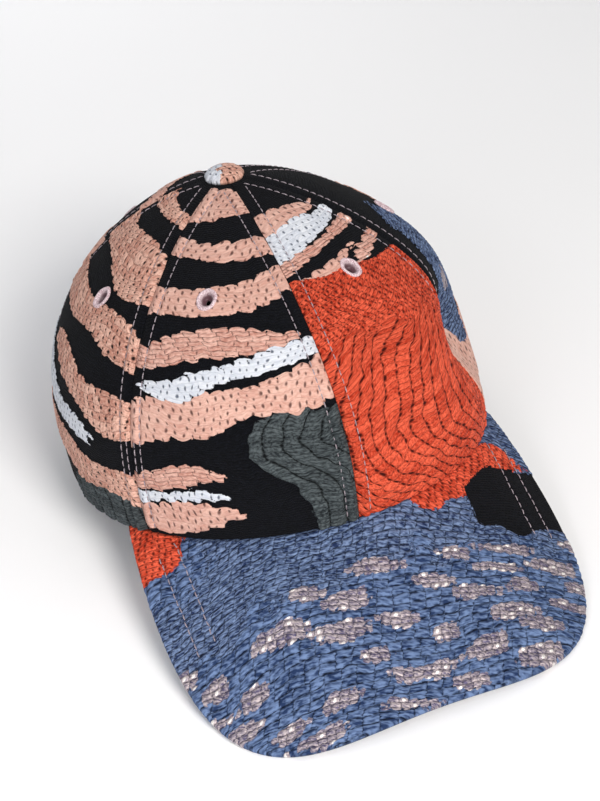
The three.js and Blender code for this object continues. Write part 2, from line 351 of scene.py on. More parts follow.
GROUND = Weave(
    key="ground",
    light="#12141B",
    dark="#050609",
    joint="#040405",
    cell=(1.5, 1.1),
    joint_half=0.14,
    joint_depth=0.4,
    row_half=0.14,
    row_depth=0.45,
    puff=0.08,
    tint=0.5,
    grain=0.5,
    strand=(1.2, 0.4),
    roughness=0.9,
)
PINK = Weave(
    key="pink",
    light="#E9BFAF",
    dark="#C99484",
    joint="#52332E",
    cell=(7.0, 3.4),
    jumble=0.5,
    joint_half=0.1,
    joint_depth=0.1,
    row_half=0.1,
    row_depth=0.2,
    ties=2,
    tie=(0.44, 0.8),
    tie_depth=0.88,
    broken=0.8,
    lift=0.5,
    puff=0.3,
    tint=0.4,
    grain=0.5,
    strand=(2.2, 0.9),
    roughness=0.55,
    outline=Outline.BRICKS,
    ragged=0.12,
    scatter=0.9,
)
PINK_ROWS = Weave(
    key="pink_rows",
    light="#E9BDAD",
    dark="#BE8474",
    joint="#3A2321",
    cell=(6.2, 1.9),
    jumble=0.6,
    joint_half=0.18,
    joint_depth=0.95,
    row_half=0.13,
    row_depth=0.6,
    broken=0.9,
    lift=0.5,
    puff=0.4,
    tint=0.5,
    grain=0.6,
    strand=(2.0, 0.7),
    roughness=0.55,
    outline=Outline.BRICKS,
    ragged=0.12,
    lean=0.08,
    painted_glint_share=0.03,
)
SCALES = Weave(
    key="scales",
    light="#EBBEAB",
    dark="#BE8472",
    joint="#1F1413",
    cell=(3.6, 2.6),
    jumble=0.6,
    joint_half=0.16,
    joint_depth=0.5,
    row_half=0.16,
    row_depth=0.5,
    broken=1.0,
    lift=0.5,
    puff=0.45,
    tint=0.7,
    grain=0.6,
    strand=(0.9, 0.7),
    roughness=0.6,
    outline=Outline.BRICKS,
    ragged=0.12,
    lean=0.2,
    ties=1,
    tie=(0.48, 0.55),
    tie_depth=1.0,
    scatter=0.5,
)
WHITE = Weave(
    key="white",
    light="#EBEDF1",
    dark="#C6CCD8",
    joint="#4E5867",
    cell=(6.2, 2.9),
    jumble=0.45,
    row_half=0.1,
    row_depth=0.12,
    ties=2,
    tie=(0.36, 0.62),
    tie_depth=0.9,
    lift=0.5,
    puff=0.28,
    tint=0.35,
    grain=0.45,
    strand=(2.0, 0.6),
    roughness=0.6,
    outline=Outline.BRICKS,
    ragged=0.12,
    scatter=0.8,
)
GREEN = Weave(
    key="green",
    light="#596163",
    dark="#272C2F",
    joint="#0F1213",
    cell=(8.0, 1.7),
    shift=0.0,
    joint_half=0.36,
    joint_depth=0.95,
    row_half=0.2,
    row_depth=0.42,
    broken=0.5,
    lift=0.35,
    puff=0.45,
    tint=0.4,
    grain=0.75,
    strand=(1.6, 0.9),
    slope=0.12,
    roughness=0.8,
    course=Course.CHANNELS,
    ragged=0.3,
    ties=1,
    tie=(0.5, 0.5),
    tie_depth=1.0,
    quilt=0.9,
    scatter=0.2,
)
ORANGE = Weave(
    key="orange",
    light="#F06648",
    dark="#AC3019",
    joint="#47110A",
    cell=(2.6, 1.9),
    shift=0.3,
    jumble=0.3,
    lean=0.2,
    row_half=0.14,
    row_depth=0.6,
    ties=1,
    tie=(0.46, 0.55),
    broken=0.7,
    lift=0.35,
    puff=0.3,
    tint=0.6,
    grain=0.7,
    strand=(1.5, 0.6),
    slope=0.45,
    roughness=0.75,
    quilt=0.25,
    bank=0.35,
    scatter=0.4,
)
ORANGE_CHANNELS = Weave(
    key="orange_channels",
    light="#EE6648",
    dark="#AC3019",
    joint="#40100A",
    cell=(6.5, 2.2),
    shift=0.0,
    row_half=0.16,
    row_depth=0.5,
    ties=1,
    tie=(0.62, 0.75),
    tie_depth=1.0,
    broken=0.75,
    lift=0.35,
    puff=0.25,
    tint=0.6,
    grain=0.68,
    strand=(1.2, 0.65),
    slope=0.5,
    roughness=0.75,
    course=Course.CHANNELS,
    ragged=0.9,
    joint_half=0.3,
    joint_depth=0.75,
    quilt=0.45,
    bank=0.35,
    scatter=0.25,
)
BLUE = Weave(
    key="blue",
    light="#788CB0",
    dark="#202E50",
    joint="#0E1424",
    cell=(4.6, 2.3),
    jumble=0.6,
    lean=0.35,
    joint_half=0.22,
    joint_depth=0.85,
    row_half=0.24,
    row_depth=0.95,
    broken=0.75,
    lift=0.3,
    puff=0.4,
    tint=0.45,
    grain=0.9,
    strand=(2.4, 0.75),
    slope=0.25,
    roughness=0.8,
    bank=0.1,
)
BLUE_PUFFS = Weave(
    key="blue_puffs",
    light="#6F85AC",
    dark="#243558",
    joint="#0D1322",
    cell=(6.4, 3.1),
    jumble=0.7,
    lean=0.32,
    joint_half=0.26,
    joint_depth=0.8,
    row_half=0.3,
    row_depth=0.95,
    broken=0.9,
    lift=0.3,
    puff=0.6,
    tint=0.5,
    grain=0.95,
    strand=(3.2, 1.0),
    slope=0.25,
    roughness=0.8,
    ragged=2.2,
    quilt=0.2,
    bank=0.12,
)
TINSEL = Weave(
    key="tinsel",
    light="#C3B6B7",
    dark="#5A546E",
    joint="#1E1D30",
    cell=(3.6, 2.1),
    jumble=0.9,
    lean=0.35,
    joint_half=0.18,
    joint_depth=0.6,
    row_half=0.18,
    row_depth=0.65,
    broken=0.8,
    lift=0.4,
    puff=0.45,
    tint=0.6,
    grain=0.8,
    strand=(1.5, 0.7),
    roughness=0.42,
    outline=Outline.BRICKS,
    ragged=0.15,
    metallic=0.35,
    painted_glint_share=0.17,
    quilt=0.25,
    bank=0.25,
    slope=0.5,
)


@dataclass(frozen=True)
class Band:
    """Stripe of one weave that runs across a gore, with rounded ends.

    Its middle line is up + tilt * across + a slow wave. Its half height falls as a quarter ellipse over
    the taper before either end. The field is the distance to the nearer edge, positive inside.
    """

    weave: Weave
    up: float
    half: float
    tilt: float = 0.0
    wave: float = 1.6
    start: float = -90.0
    end: float = 90.0
    taper: float = 24.0

    def field(self, across: Array, up: Array) -> Array:
        """Signed distance to the stripe's edge in millimetres."""
        middle = self.up + self.tilt * across + self.wave * np.sin(across / 15 + 0.7 * self.up)
        reach = np.clip(np.minimum(across - self.start, self.end - across) / self.taper, 0, 1)
        half = np.where(reach > 0, self.half * np.sqrt(reach * (2 - reach)), -1.5)
        swell = 0.9 * np.sin(across / 9.1 + 1.9 * self.up)
        return half + swell - np.abs(up - middle)


@dataclass(frozen=True)
class Patch:
    """Rounded field of one weave: a superellipse, turned, with a slightly wavy outline."""

    weave: Weave
    across: float
    up: float
    half_width: float
    half_height: float
    power: float = 2.4
    turn_deg: float = 0.0
    wobble: float = 0.8

    def field(self, across: Array, up: Array) -> Array:
        """Signed distance to the outline in millimetres, exact only near it."""
        turn = np.radians(self.turn_deg)
        along = (across - self.across) * np.cos(turn) + (up - self.up) * np.sin(turn)
        off = (up - self.up) * np.cos(turn) - (across - self.across) * np.sin(turn)
        reach = np.abs(along / self.half_width) ** self.power + np.abs(off / self.half_height) ** self.power
        share = reach ** (1 / self.power)
        edge = self.wobble * (np.sin(across / 3.7 + up / 4.9) + 0.6 * np.sin(up / 2.3 - across / 6.1))
        return (1 - share) * min(self.half_width, self.half_height) + edge


@dataclass(frozen=True)
class Design:
    """The shapes woven on one piece of cloth, drawn in the order of its weaves."""

    weaves: tuple[Weave, ...]
    shapes: tuple[Band | Patch, ...]

    def reach(self, weave: Weave, place: Array) -> Array:
        """Greatest field of a weave's shapes at places on the cloth."""
        field = np.full(place.shape[:-1], OFF_FIELD)
        for shape in self.shapes:
            if shape.weave is weave:
                field = np.maximum(field, shape.field(place[..., 0], place[..., 1]))
        return field

    def bricks(self, weave: Weave, place: Array) -> Array:
        """Field of a weave whose outline goes round its bricks.

        The reach is taken at the middle of a brick's width, so that the outline stays level over a brick,
        and moved by up to 0.4 mm by chance. It draws in from there as a half ellipse, down to a notch of
        a quarter of the width or 1.7 mm where two bricks meet. On a lower edge the notch is half as deep.

        Args:
            weave: The weave to lay out.
            place: Cloth coordinates across and up on the last axis.

        Returns:
            The field in millimetres, positive inside.
        """
        across, row_place = weave.lattice(place)
        column, row = np.floor(across), np.floor(row_place)
        level = place.copy()
        level[..., 0] += (column + 0.5 - across) * weave.cell[0]
        rise = self.reach(weave, level + (0, 0.6)) - self.reach(weave, level - (0, 0.6))
        off_middle = 1 - 2 * np.abs(across - np.round(across))
        notch = np.where(rise < 0, 1.0, 0.5) * min(1.7, 0.25 * weave.cell[0])
        corner = notch * (1 - np.sqrt(1 - off_middle**2))
        chance = np.mod(np.sin(column * 12.9898 + row * 78.233) * 43758.5453, 1)
        return self.reach(weave, level) + 0.8 * (chance - 0.5) - corner

    def fields(self, place: Array, channels: Array) -> dict[str, Array]:
        """Where each weave lies. A weave that follows the channels is laid out along them too.

        Args:
            place: Cloth coordinates across and up on the last axis.
            channels: Coordinates across and along the quilted channels.

        Returns:
            A field in millimetres for each weave's attribute name, positive where the weave lies.
        """
        found = {}
        for weave in self.weaves:
            drawn = self.bricks if weave.outline is Outline.BRICKS else self.reach
            followed = channels if weave.course is Course.CHANNELS else place
            found[weave.field] = np.clip(drawn(weave, followed), OFF_FIELD, -OFF_FIELD)
        return found

    def height(self, place: Array, channels: Array, fields: dict[str, Array]) -> Array:
        """Relief of the cloth: each weave in turn covers what lies under it inside its field."""
        height = GROUND.height(place)
        for weave in self.weaves:
            cover = smooth(-0.3, 0.3, fields[weave.field])
            own = weave.height(channels if weave.course is Course.CHANNELS else place)
            height = height + (own - height) * cover
        return height


# Finishes


@dataclass(frozen=True)
class Jacquard:
    """Thick cotton and viscose jacquard with metallised thread, loom woven.

    What shows is raised, satin-smooth floats tied down by small dark dots, over a matt black ground,
    with stepped edges between the colours where the loom changes weave.
    """

    name: str
    weaves: tuple[Weave, ...]

    def dress(self) -> bpy.types.Material:
        """Builds the material.

        Returns:
            A material that reads the cloth coordinates and the weaves' fields from the mesh.
        """
        material = bpy.data.materials.new(self.name)
        material.use_nodes = True
        tree = material.node_tree
        tree.nodes.clear()
        places = {
            course: add_node(tree, "ShaderNodeAttribute", attribute_name=course.value).outputs["Vector"]
            for course in Course
        }
        steps = self._steps(tree, places[Course.CLOTH])
        colour, relief, rough, metal = self._surface(tree, GROUND, places)
        for weave in self.weaves:
            over = self._surface(tree, weave, places)
            field = add_node(tree, "ShaderNodeAttribute", attribute_name=weave.field).outputs["Fac"]
            stepped = add_node(
                tree, "ShaderNodeMath", {0: steps, 1: weave.ragged, 2: field}, operation="MULTIPLY_ADD"
            ).outputs[0]
            cover = add_node(
                tree, "ShaderNodeMapRange", {"Value": stepped, "From Min": -0.08, "From Max": 0.08}
            ).outputs["Result"]
            colour = add_node(
                tree, "ShaderNodeMix", {0: cover, 6: colour, 7: over[0]}, data_type="RGBA"
            ).outputs[2]
            relief, rough, metal = (
                self._mixed(tree, cover, under, top) for under, top in zip((relief, rough, metal), over[1:])
            )
        bump = add_node(
            tree, "ShaderNodeBump", {"Height": relief, "Strength": 0.9, "Distance": 0.0004}
        ).outputs["Normal"]
        shader = add_node(
            tree,
            "ShaderNodeBsdfPrincipled",
            {
                "Base Color": colour,
                "Roughness": rough,
                "Metallic": metal,
                "Normal": bump,
                "IOR": 1.46,
                "Specular IOR Level": 0.12,
                "Sheen Weight": 0.02,
                "Sheen Roughness": 0.5,
            },
        )
        add_node(tree, "ShaderNodeOutputMaterial", {"Surface": shader.outputs[0]})
        return material

    @staticmethod
    def _mixed(
        tree: bpy.types.NodeTree, cover: Socket, under: Socket | float, top: Socket | float
    ) -> Socket | float:
        """Mixes two values by the cover, or keeps a plain number that is the same in both."""
        if not isinstance(under, Socket) and under == top:
            return under
        mix = add_node(tree, "ShaderNodeMix", {0: cover, 2: under, 3: top}, data_type="FLOAT")
        return mix.outputs[0]

    @staticmethod
    def _steps(tree: bpy.types.NodeTree, cloth: Socket) -> Socket:
        """Random shift of the outlines from -1 to 1, one value for each thread crossing of 1.2 by 1.1 mm."""
        scaled = add_node(
            tree, "ShaderNodeVectorMath", {0: cloth, 1: (1 / 1.2, 1 / 1.1, 1.0)}, operation="MULTIPLY"
        ).outputs["Vector"]
        crossing = add_node(tree, "ShaderNodeVectorMath", {0: scaled}, operation="FLOOR").outputs["Vector"]
        chance = add_node(
            tree, "ShaderNodeTexWhiteNoise", {"Vector": crossing}, noise_dimensions="2D"
        ).outputs["Value"]
        return add_node(
            tree, "ShaderNodeMath", {0: chance, 1: 2.0, 2: -1.0}, operation="MULTIPLY_ADD"
        ).outputs[0]

    @staticmethod
    def _count(tree: bpy.types.NodeTree, weave: Weave, axes: Sequence[Socket]) -> tuple[Socket, Socket]:
        """Counts cells and rows, with fractions, as the weave's own lattice does."""
        up = add_node(
            tree, "ShaderNodeMath", {0: axes[0], 1: -weave.bank, 2: axes[1]}, operation="MULTIPLY_ADD"
        ).outputs[0]
        row_place = add_node(tree, "ShaderNodeMath", {0: up, 1: weave.cell[1]}, operation="DIVIDE").outputs[0]
        row = add_node(tree, "ShaderNodeMath", {0: row_place}, operation="FLOOR").outputs[0]
        spread = add_node(tree, "ShaderNodeMath", {0: row, 1: ROW_JITTER}, operation="MULTIPLY").outputs[0]
        across = add_node(
            tree, "ShaderNodeMath", {0: axes[0], 1: weave.cell[0]}, operation="DIVIDE"
        ).outputs[0]
        moves = (
            (row, None, weave.shift),
            (spread, "FRACT", weave.jumble),
            (row_place, "FRACT", weave.lean),
        )
        for value, operation, share in moves:
            if share:
                if operation:
                    value = add_node(tree, "ShaderNodeMath", {0: value}, operation=operation).outputs[0]
                across = add_node(
                    tree, "ShaderNodeMath", {0: value, 1: share, 2: across}, operation="MULTIPLY_ADD"
                ).outputs[0]
        return across, row_place

    @staticmethod
    def _strands(tree: bpy.types.NodeTree, weave: Weave, axes: Sequence[Socket], scatter: Socket) -> Socket:
        """Streaks of single strands from 0 to 1, with a new start in every cell."""
        along = add_node(
            tree, "ShaderNodeMath", {0: axes[0], 1: weave.strand[0]}, operation="DIVIDE"
        ).outputs[0]
        off = add_node(
            tree, "ShaderNodeMath", {0: axes[0], 1: -weave.slope, 2: axes[1]}, operation="MULTIPLY_ADD"
        ).outputs[0]
        off = add_node(tree, "ShaderNodeMath", {0: off, 1: weave.strand[1]}, operation="DIVIDE").outputs[0]
        place = add_node(tree, "ShaderNodeCombineXYZ", {0: along, 1: off}).outputs[0]
        place = add_node(
            tree,
            "ShaderNodeVectorMath",
            {0: scatter, 1: (60.0, 60.0, 0.0), 2: place},
            operation="MULTIPLY_ADD",
        ).outputs["Vector"]
        noise = add_node(
            tree,
            "ShaderNodeTexNoise",
            {"Vector": place, "Scale": 1.0, "Detail": 1.5, "Roughness": 0.6},
            noise_dimensions="2D",
        ).outputs["Fac"]
        return add_node(
            tree, "ShaderNodeMapRange", {"Value": noise, "From Min": 0.34, "From Max": 0.66}
        ).outputs["Result"]

    @staticmethod
    def _ties(tree: bpy.types.NodeTree, weave: Weave, across: Socket, row_place: Socket) -> Socket:
        """Share of the joint colour that the ties show, each a little off its place and size by chance."""
        counted = add_node(
            tree, "ShaderNodeMath", {0: across, 1: float(weave.ties)}, operation="MULTIPLY"
        ).outputs[0]
        nearest = add_node(tree, "ShaderNodeMath", {0: counted}, operation="ROUND").outputs[0]
        row = add_node(tree, "ShaderNodeMath", {0: row_place}, operation="FLOOR").outputs[0]
        number = add_node(tree, "ShaderNodeCombineXYZ", {0: nearest, 1: row}).outputs[0]
        luck = add_node(tree, "ShaderNodeTexWhiteNoise", {"Vector": number}, noise_dimensions="2D").outputs
        off = add_node(tree, "ShaderNodeMath", {0: counted, 1: nearest}, operation="SUBTRACT").outputs[0]
        above = add_node(tree, "ShaderNodeMath", {0: row_place}, operation="FRACT").outputs[0]
        place = add_node(tree, "ShaderNodeCombineXYZ", {0: off, 1: above}).outputs[0]
        sizes = (weave.cell[0] / weave.ties / weave.tie[0], weave.cell[1] / weave.tie[1])
        middle = (-weave.scatter, -weave.scatter - 0.5 * sizes[1], 0.0)
        scaled = add_node(
            tree, "ShaderNodeVectorMath", {0: place, 1: (*sizes, 0.0), 2: middle}, operation="MULTIPLY_ADD"
        ).outputs["Vector"]
        stray = (2 * weave.scatter, 2 * weave.scatter, 0.0)
        scaled = add_node(
            tree, "ShaderNodeVectorMath", {0: luck["Color"], 1: stray, 2: scaled}, operation="MULTIPLY_ADD"
        ).outputs["Vector"]
        away = add_node(tree, "ShaderNodeVectorMath", {0: scaled}, operation="LENGTH").outputs["Value"]
        uneven = add_node(
            tree, "ShaderNodeMath", {0: luck["Value"], 1: 0.6, 2: away}, operation="MULTIPLY_ADD"
        ).outputs[0]
        return add_node(
            tree,
            "ShaderNodeMapRange",
            {"Value": uneven, "From Min": 0.75, "From Max": 1.75, "To Min": weave.tie_depth, "To Max": 0.0},
        ).outputs["Result"]

    @staticmethod
    def _painted_glints(
        tree: bpy.types.NodeTree, weave: Weave, across: Socket, row_place: Socket, chance: Socket
    ) -> Socket:
        """Round painted highlights, 1.2 mm wide, in the middle of the cells that chance picks: glints of
        light painted near white.
        """
        place = add_node(tree, "ShaderNodeCombineXYZ", {0: across, 1: row_place}).outputs[0]
        share = add_node(tree, "ShaderNodeVectorMath", {0: place}, operation="FRACTION").outputs["Vector"]
        from_middle = add_node(
            tree,
            "ShaderNodeVectorMath",
            {0: share, 1: (*weave.cell, 0.0), 2: (-0.5 * weave.cell[0], -0.5 * weave.cell[1], 0.0)},
            operation="MULTIPLY_ADD",
        ).outputs["Vector"]
        away = add_node(tree, "ShaderNodeVectorMath", {0: from_middle}, operation="LENGTH").outputs["Value"]
        spot = add_node(
            tree,
            "ShaderNodeMapRange",
            {"Value": away, "From Min": 0.4, "From Max": 0.8, "To Min": 1.0, "To Max": 0.0},
        ).outputs["Result"]
        picked = add_node(
            tree, "ShaderNodeMath", {0: chance, 1: 1 - weave.painted_glint_share}, operation="GREATER_THAN"
        ).outputs[0]
        return add_node(tree, "ShaderNodeMath", {0: spot, 1: picked}, operation="MULTIPLY").outputs[0]

    def _surface(
        self, tree: bpy.types.NodeTree, weave: Weave, places: dict[Course, Socket]
    ) -> tuple[Socket, Socket, Socket | float, Socket | float]:
        """Colour, relief, roughness and metal share of one weave.

        Args:
            tree: The material's node tree.
            weave: The weave to draw.
            places: Coordinates across and up, in millimetres, for each course.

        Returns:
            Sockets, or plain numbers where a value is the same all over.
        """
        place = places[weave.course]
        axes = add_node(tree, "ShaderNodeSeparateXYZ", {0: place}).outputs
        across, row_place = self._count(tree, weave, axes)
        number = add_node(tree, "ShaderNodeCombineXYZ", {0: across, 1: row_place}).outputs[0]
        number = add_node(tree, "ShaderNodeVectorMath", {0: number}, operation="FLOOR").outputs["Vector"]
        luck = add_node(tree, "ShaderNodeTexWhiteNoise", {"Vector": number}, noise_dimensions="2D").outputs
        chance = luck["Value"]
        grain = self._strands(tree, weave, axes, luck["Color"])
        joint_share, row_share = (
            add_node(tree, "ShaderNodeMath", {0: counted, 1: 0.5}, operation="PINGPONG").outputs[0]
            for counted in (across, row_place)
        )
        shade: Socket | float = 0.0
        lines = (
            (joint_share, weave.cell[0], weave.joint_half, weave.joint_depth),
            (row_share, weave.cell[1], weave.row_half, weave.row_depth),
        )
        for share, size, half, depth in lines:
            if depth:
                line = add_node(
                    tree,
                    "ShaderNodeMapRange",
                    {
                        "Value": share,
                        "From Min": 0.55 * half / size,
                        "From Max": (1.45 * half + 0.05) / size,
                        "To Min": depth,
                        "To Max": 0.0,
                    },
                ).outputs["Result"]
                shade = add_node(tree, "ShaderNodeMath", {0: shade, 1: line}, operation="MAXIMUM").outputs[0]
        if weave.broken:
            left = add_node(
                tree, "ShaderNodeMath", {0: grain, 1: -weave.broken, 2: 1.0}, operation="MULTIPLY_ADD"
            ).outputs[0]
            shade = add_node(tree, "ShaderNodeMath", {0: shade, 1: left}, operation="MULTIPLY").outputs[0]
        if weave.ties:
            tie = self._ties(tree, weave, across, row_place)
            shade = add_node(tree, "ShaderNodeMath", {0: shade, 1: tie}, operation="MAXIMUM").outputs[0]
        tone = add_node(
            tree,
            "ShaderNodeMath",
            {0: chance, 1: weave.tint, 2: 0.5 - weave.tint / 2 - weave.grain / 2},
            operation="MULTIPLY_ADD",
        ).outputs[0]
        tone = add_node(
            tree, "ShaderNodeMath", {0: grain, 1: weave.grain, 2: tone}, operation="MULTIPLY_ADD"
        ).outputs[0]
        thread = add_node(
            tree,
            "ShaderNodeMix",
            {0: tone, 6: linear(weave.dark), 7: linear(weave.light)},
            data_type="RGBA",
        ).outputs[2]
        colour = add_node(
            tree, "ShaderNodeMix", {0: shade, 6: thread, 7: linear(weave.joint)}, data_type="RGBA"
        ).outputs[2]
        pillow = add_node(
            tree, "ShaderNodeMath", {0: row_share, 1: 1.0, 2: 0.6}, operation="MULTIPLY_ADD"
        ).outputs[0]
        relief = add_node(
            tree, "ShaderNodeMath", {0: grain, 1: 0.6 * weave.grain, 2: pillow}, operation="MULTIPLY_ADD"
        ).outputs[0]
        relief = add_node(
            tree, "ShaderNodeMath", {0: relief, 1: shade}, operation="SUBTRACT"
        ).outputs[0]
        rough: Socket | float = weave.roughness
        # Painted highlight: picked cells get a round near-white glint in their colour, and a lower roughness
        if weave.painted_glint_share:
            painted_glint = self._painted_glints(tree, weave, across, row_place, chance)
            colour = add_node(
                tree, "ShaderNodeMix", {0: painted_glint, 6: colour, 7: linear("#FFFAF4")}, data_type="RGBA"
            ).outputs[2]
            rough = add_node(
                tree, "ShaderNodeMix", {0: painted_glint, 2: weave.roughness, 3: 0.25}, data_type="FLOAT"
            ).outputs[0]
        return colour, relief, rough, weave.metallic


@dataclass(frozen=True)
class SewingThread:
    """Twisted polyester sewing thread: slightly glossy, with a painted highlight and a painted shade on the
    two sides of each turn, as well as a bump.
    """

    name: str
    light: str
    dark: str
    # colour of the painted shade down in an eyelet's hole
    painted_hole_shade: str
    roughness: float = 0.45
    turn: float = 0.5  # millimetres from one turn of the twist to the next

    def dress(self) -> bpy.types.Material:
        """Builds the material, with the twist as fine noise in Object coordinates.

        Returns:
            A material that turns to painted shade, its darkest colour, where the mesh's attribute for depth
            is 1, down in an eyelet's hole.
        """
        material = bpy.data.materials.new(self.name)
        material.use_nodes = True
        tree = material.node_tree
        tree.nodes.clear()
        place = add_node(tree, "ShaderNodeTexCoord").outputs["Object"]
        twist = add_node(
            tree,
            "ShaderNodeTexNoise",
            {"Vector": place, "Scale": 1 / (self.turn * METRES), "Detail": 2.0},
        ).outputs["Fac"]
        # Painted highlight and shade: the twist noise makes one side of each turn lighter and the other
        # darker, and the same noise drives the bump
        painted_twist_shade = add_node(
            tree, "ShaderNodeMapRange", {"Value": twist, "From Min": 0.35, "From Max": 0.65}
        ).outputs["Result"]
        colour = add_node(
            tree,
            "ShaderNodeMix",
            {0: painted_twist_shade, 6: linear(self.dark), 7: linear(self.light)},
            data_type="RGBA",
        ).outputs[2]
        # Painted shade: the colour darkens where the depth attribute is 1, down in the eyelet's hole
        depth = add_node(tree, "ShaderNodeAttribute", attribute_name="depth").outputs["Fac"]
        colour = add_node(
            tree, "ShaderNodeMix", {0: depth, 6: colour, 7: linear(self.painted_hole_shade)}, data_type="RGBA"
        ).outputs[2]
        bump = add_node(
            tree, "ShaderNodeBump", {"Height": twist, "Strength": 0.6, "Distance": 0.0002}
        ).outputs["Normal"]
        shader = add_node(
            tree,
            "ShaderNodeBsdfPrincipled",
            {
                "Base Color": colour,
                "Roughness": self.roughness,
                "Normal": bump,
                "IOR": 1.5,
                "Sheen Weight": 0.15,
            },
        )
        add_node(tree, "ShaderNodeOutputMaterial", {"Surface": shader.outputs[0]})
        return material


# Shape of the crown and how the cap lies


@dataclass(frozen=True)
class Fold:
    """Soft dent or swell of the crown: a bell shape about an angle and a height. Depth is outwards."""

    angle_deg: float
    height: float
    angle_spread_deg: float
    height_spread: float
    depth: float


@dataclass(frozen=True)
class Rest:
    """How the cap lies: tipped back about the back of its rim, sunk into its own soft edge."""

    tilt_deg: float = 11.88
    back_y: float = 96.0
    sink: float = 1.1
    shift: tuple[float, float] = (0.30315, 28.82058)

    def turn(self) -> Array:
        """Rotation from the crown's own frame to the row frame."""
        cosine, sine = np.cos(np.radians(self.tilt_deg)), np.sin(np.radians(self.tilt_deg))
        return np.array(((1, 0, 0), (0, cosine, sine), (0, -sine, cosine)))

    def settle(self, points: Array, pressed: bool = True) -> Array:
        """Moves points from the crown's own frame on to the surface, in metres.

        Args:
            points: Points in millimetres, in the crown's own frame.
            pressed: True for cloth, which is pressed flat where it meets the surface.

        Returns:
            Points in metres in the row frame, one row for each point.
        """
        pivot = np.array((0, self.back_y, 0))
        placed = (points.reshape(-1, 3) - pivot) @ self.turn().T + pivot
        placed -= (0, 0, self.sink)
        if pressed:
            placed[:, 2] = np.maximum(placed[:, 2], 0)
        placed[:, :2] += self.shift
        return placed * METRES


@dataclass(frozen=True)
class CrownForm:
    """Outside of the crown, as the CAD gives it.

    At a share h of the way up, level = sin(pi h / 2) is the share of the height. The radius there is
    (1 - level ** 2.88) ** (1 / 1.49) of the rim's, with a slight swell in the middle, and the folds are
    added to it. The middle moves back with level squared, and an arch lifts the front of the rim.
    """

    half_width: float = 93.0
    half_length: float = 96.0
    height: float = 111.0
    top_shift: float = 22.8
    height_power: float = 2.88
    radius_power: float = 1.49
    swell: float = 0.03
    arch_height: float = 4.8
    arch_end_deg: float = 70.7
    opening: float = 3.0
    folds: tuple[Fold, ...] = (
        Fold(62.7, 0.22, 18.3, 0.14, -16.5),
        Fold(50.0, 0.12, 20.0, 0.10, 4.7),
        Fold(-142.0, 0.24, 15.0, 0.17, -2.6),
        Fold(158.0, 0.30, 16.0, 0.18, -3.4),
    )

    def profile(self, height: Array) -> Array:
        """Share of the rim's radius that is left at a height, without the folds."""
        level = np.minimum(np.sin(PI * height / 2), 1)
        left = (1 - level**self.height_power) ** (1 / self.radius_power)
        return left * (1 + self.swell * np.sin(PI * level))

    def radius(self, angle: Array, height: Array) -> Array:
        """Share of the rim's radius at an angle and a height, with the folds."""
        radius = self.profile(height) + 0 * angle
        for fold in self.folds:
            turn = np.mod(angle - np.radians(fold.angle_deg) + PI, 2 * PI) - PI
            across = turn / np.radians(fold.angle_spread_deg)
            up = (height - fold.height) / fold.height_spread
            radius = radius + fold.depth / 90 * np.exp(-(across**2) - up**2)
        return radius

    def arch(self, side: Array) -> Array:
        """Height of the arch of the rim at a distance to the side."""
        end = self.half_width * np.sin(np.radians(self.arch_end_deg))
        return self.arch_height * np.maximum(0, 1 - (side / end) ** 2)

    def point(self, angle: Array, height: Array) -> Array:
        """Points on the outside of the crown, in its own frame.

        Args:
            angle: From the centre front towards the wearer's left, in radians.
            height: Share of the way up, 0 at the rim and 1 at the top.

        Returns:
            Points in millimetres, with x, y and z on the last axis.
        """
        level = np.sin(PI * height / 2)
        radius = self.radius(angle, height)
        side = self.half_width * np.sin(angle)
        front = np.cos(angle) > np.cos(np.radians(self.arch_end_deg))
        base = np.where(front, self.arch(side), 0)
        x = side * radius
        y = -self.half_length * np.cos(angle) * radius + self.top_shift * level**2
        return np.stack((x, y, base + (self.height - base) * level), -1)

    def normal(self, angle: Array, height: Array) -> Array:
        """Outward direction, from the differences between points a small step apart."""
        step = 0.004
        across = self.point(angle + step, height) - self.point(angle - step, height)
        up = self.point(angle, height + step) - self.point(angle, np.maximum(height - step, 0))
        return unit(np.cross(across, up))

    def top(self) -> float:
        """Highest share up at which the gores leave the small opening under the button."""
        heights = np.arange(1, 0.9, -0.0005)
        return float(heights[np.argmax(self.half_width * self.profile(heights) >= self.opening)])

    def arc(self, angle: float) -> tuple[Array, Array]:
        """Heights, and the length of cloth from the rim up to each, along the unfolded crown."""
        heights = np.linspace(0, self.top(), 1600)
        level = np.sin(PI * heights / 2)
        reach = self.profile(heights)
        x = self.half_width * np.sin(angle) * reach
        y = -self.half_length * np.cos(angle) * reach + self.top_shift * level**2
        line = np.stack((x, y, self.height * level), -1)
        steps = np.linalg.norm(np.diff(line, axis=0), axis=1)
        return heights, np.concatenate(([0.0], np.cumsum(steps)))


# Pieces of the cap


@dataclass(frozen=True)
class Piercing:
    """Place of a sewn eyelet on a gore."""

    angle_deg: float
    height: float


@dataclass(frozen=True)
class Channels:
    """Lie of the quilted channels: upright, but bent to the side above and below a turning line.

    Above the turning line the bend is above times the distance squared. Below it the bend starts as
    below times the distance squared and levels out at reach: it is
    reach * (1 - exp(-below * distance squared / reach)). One line between channels crosses the turning
    line at first.
    """

    turn_up: float
    above: float
    below: float
    reach: float
    first: float

    def coordinates(self, place: Array) -> Array:
        """Coordinates across and along the channels, from those across and up the cloth."""
        across, up = place[..., 0], place[..., 1]
        high = np.clip(up - self.turn_up, 0, 60) ** 2
        low = np.clip(self.turn_up - up, 0, 80) ** 2
        bend = self.above * high + self.reach * (1 - np.exp(-self.below * low / self.reach))
        sway = 0.4 * drift(place, 26, 5) + 0.3 * drift(place, 11, 6)
        return np.stack((across - bend + sway - self.first, up + 0.08 * across), -1)


FRONT_CHANNELS = Channels(31.0, above=0.0135, below=0.045, reach=60.0, first=-2.1)
SIDE_CHANNELS = Channels(43.0, above=0.05, below=0.077, reach=22.0, first=11.7)


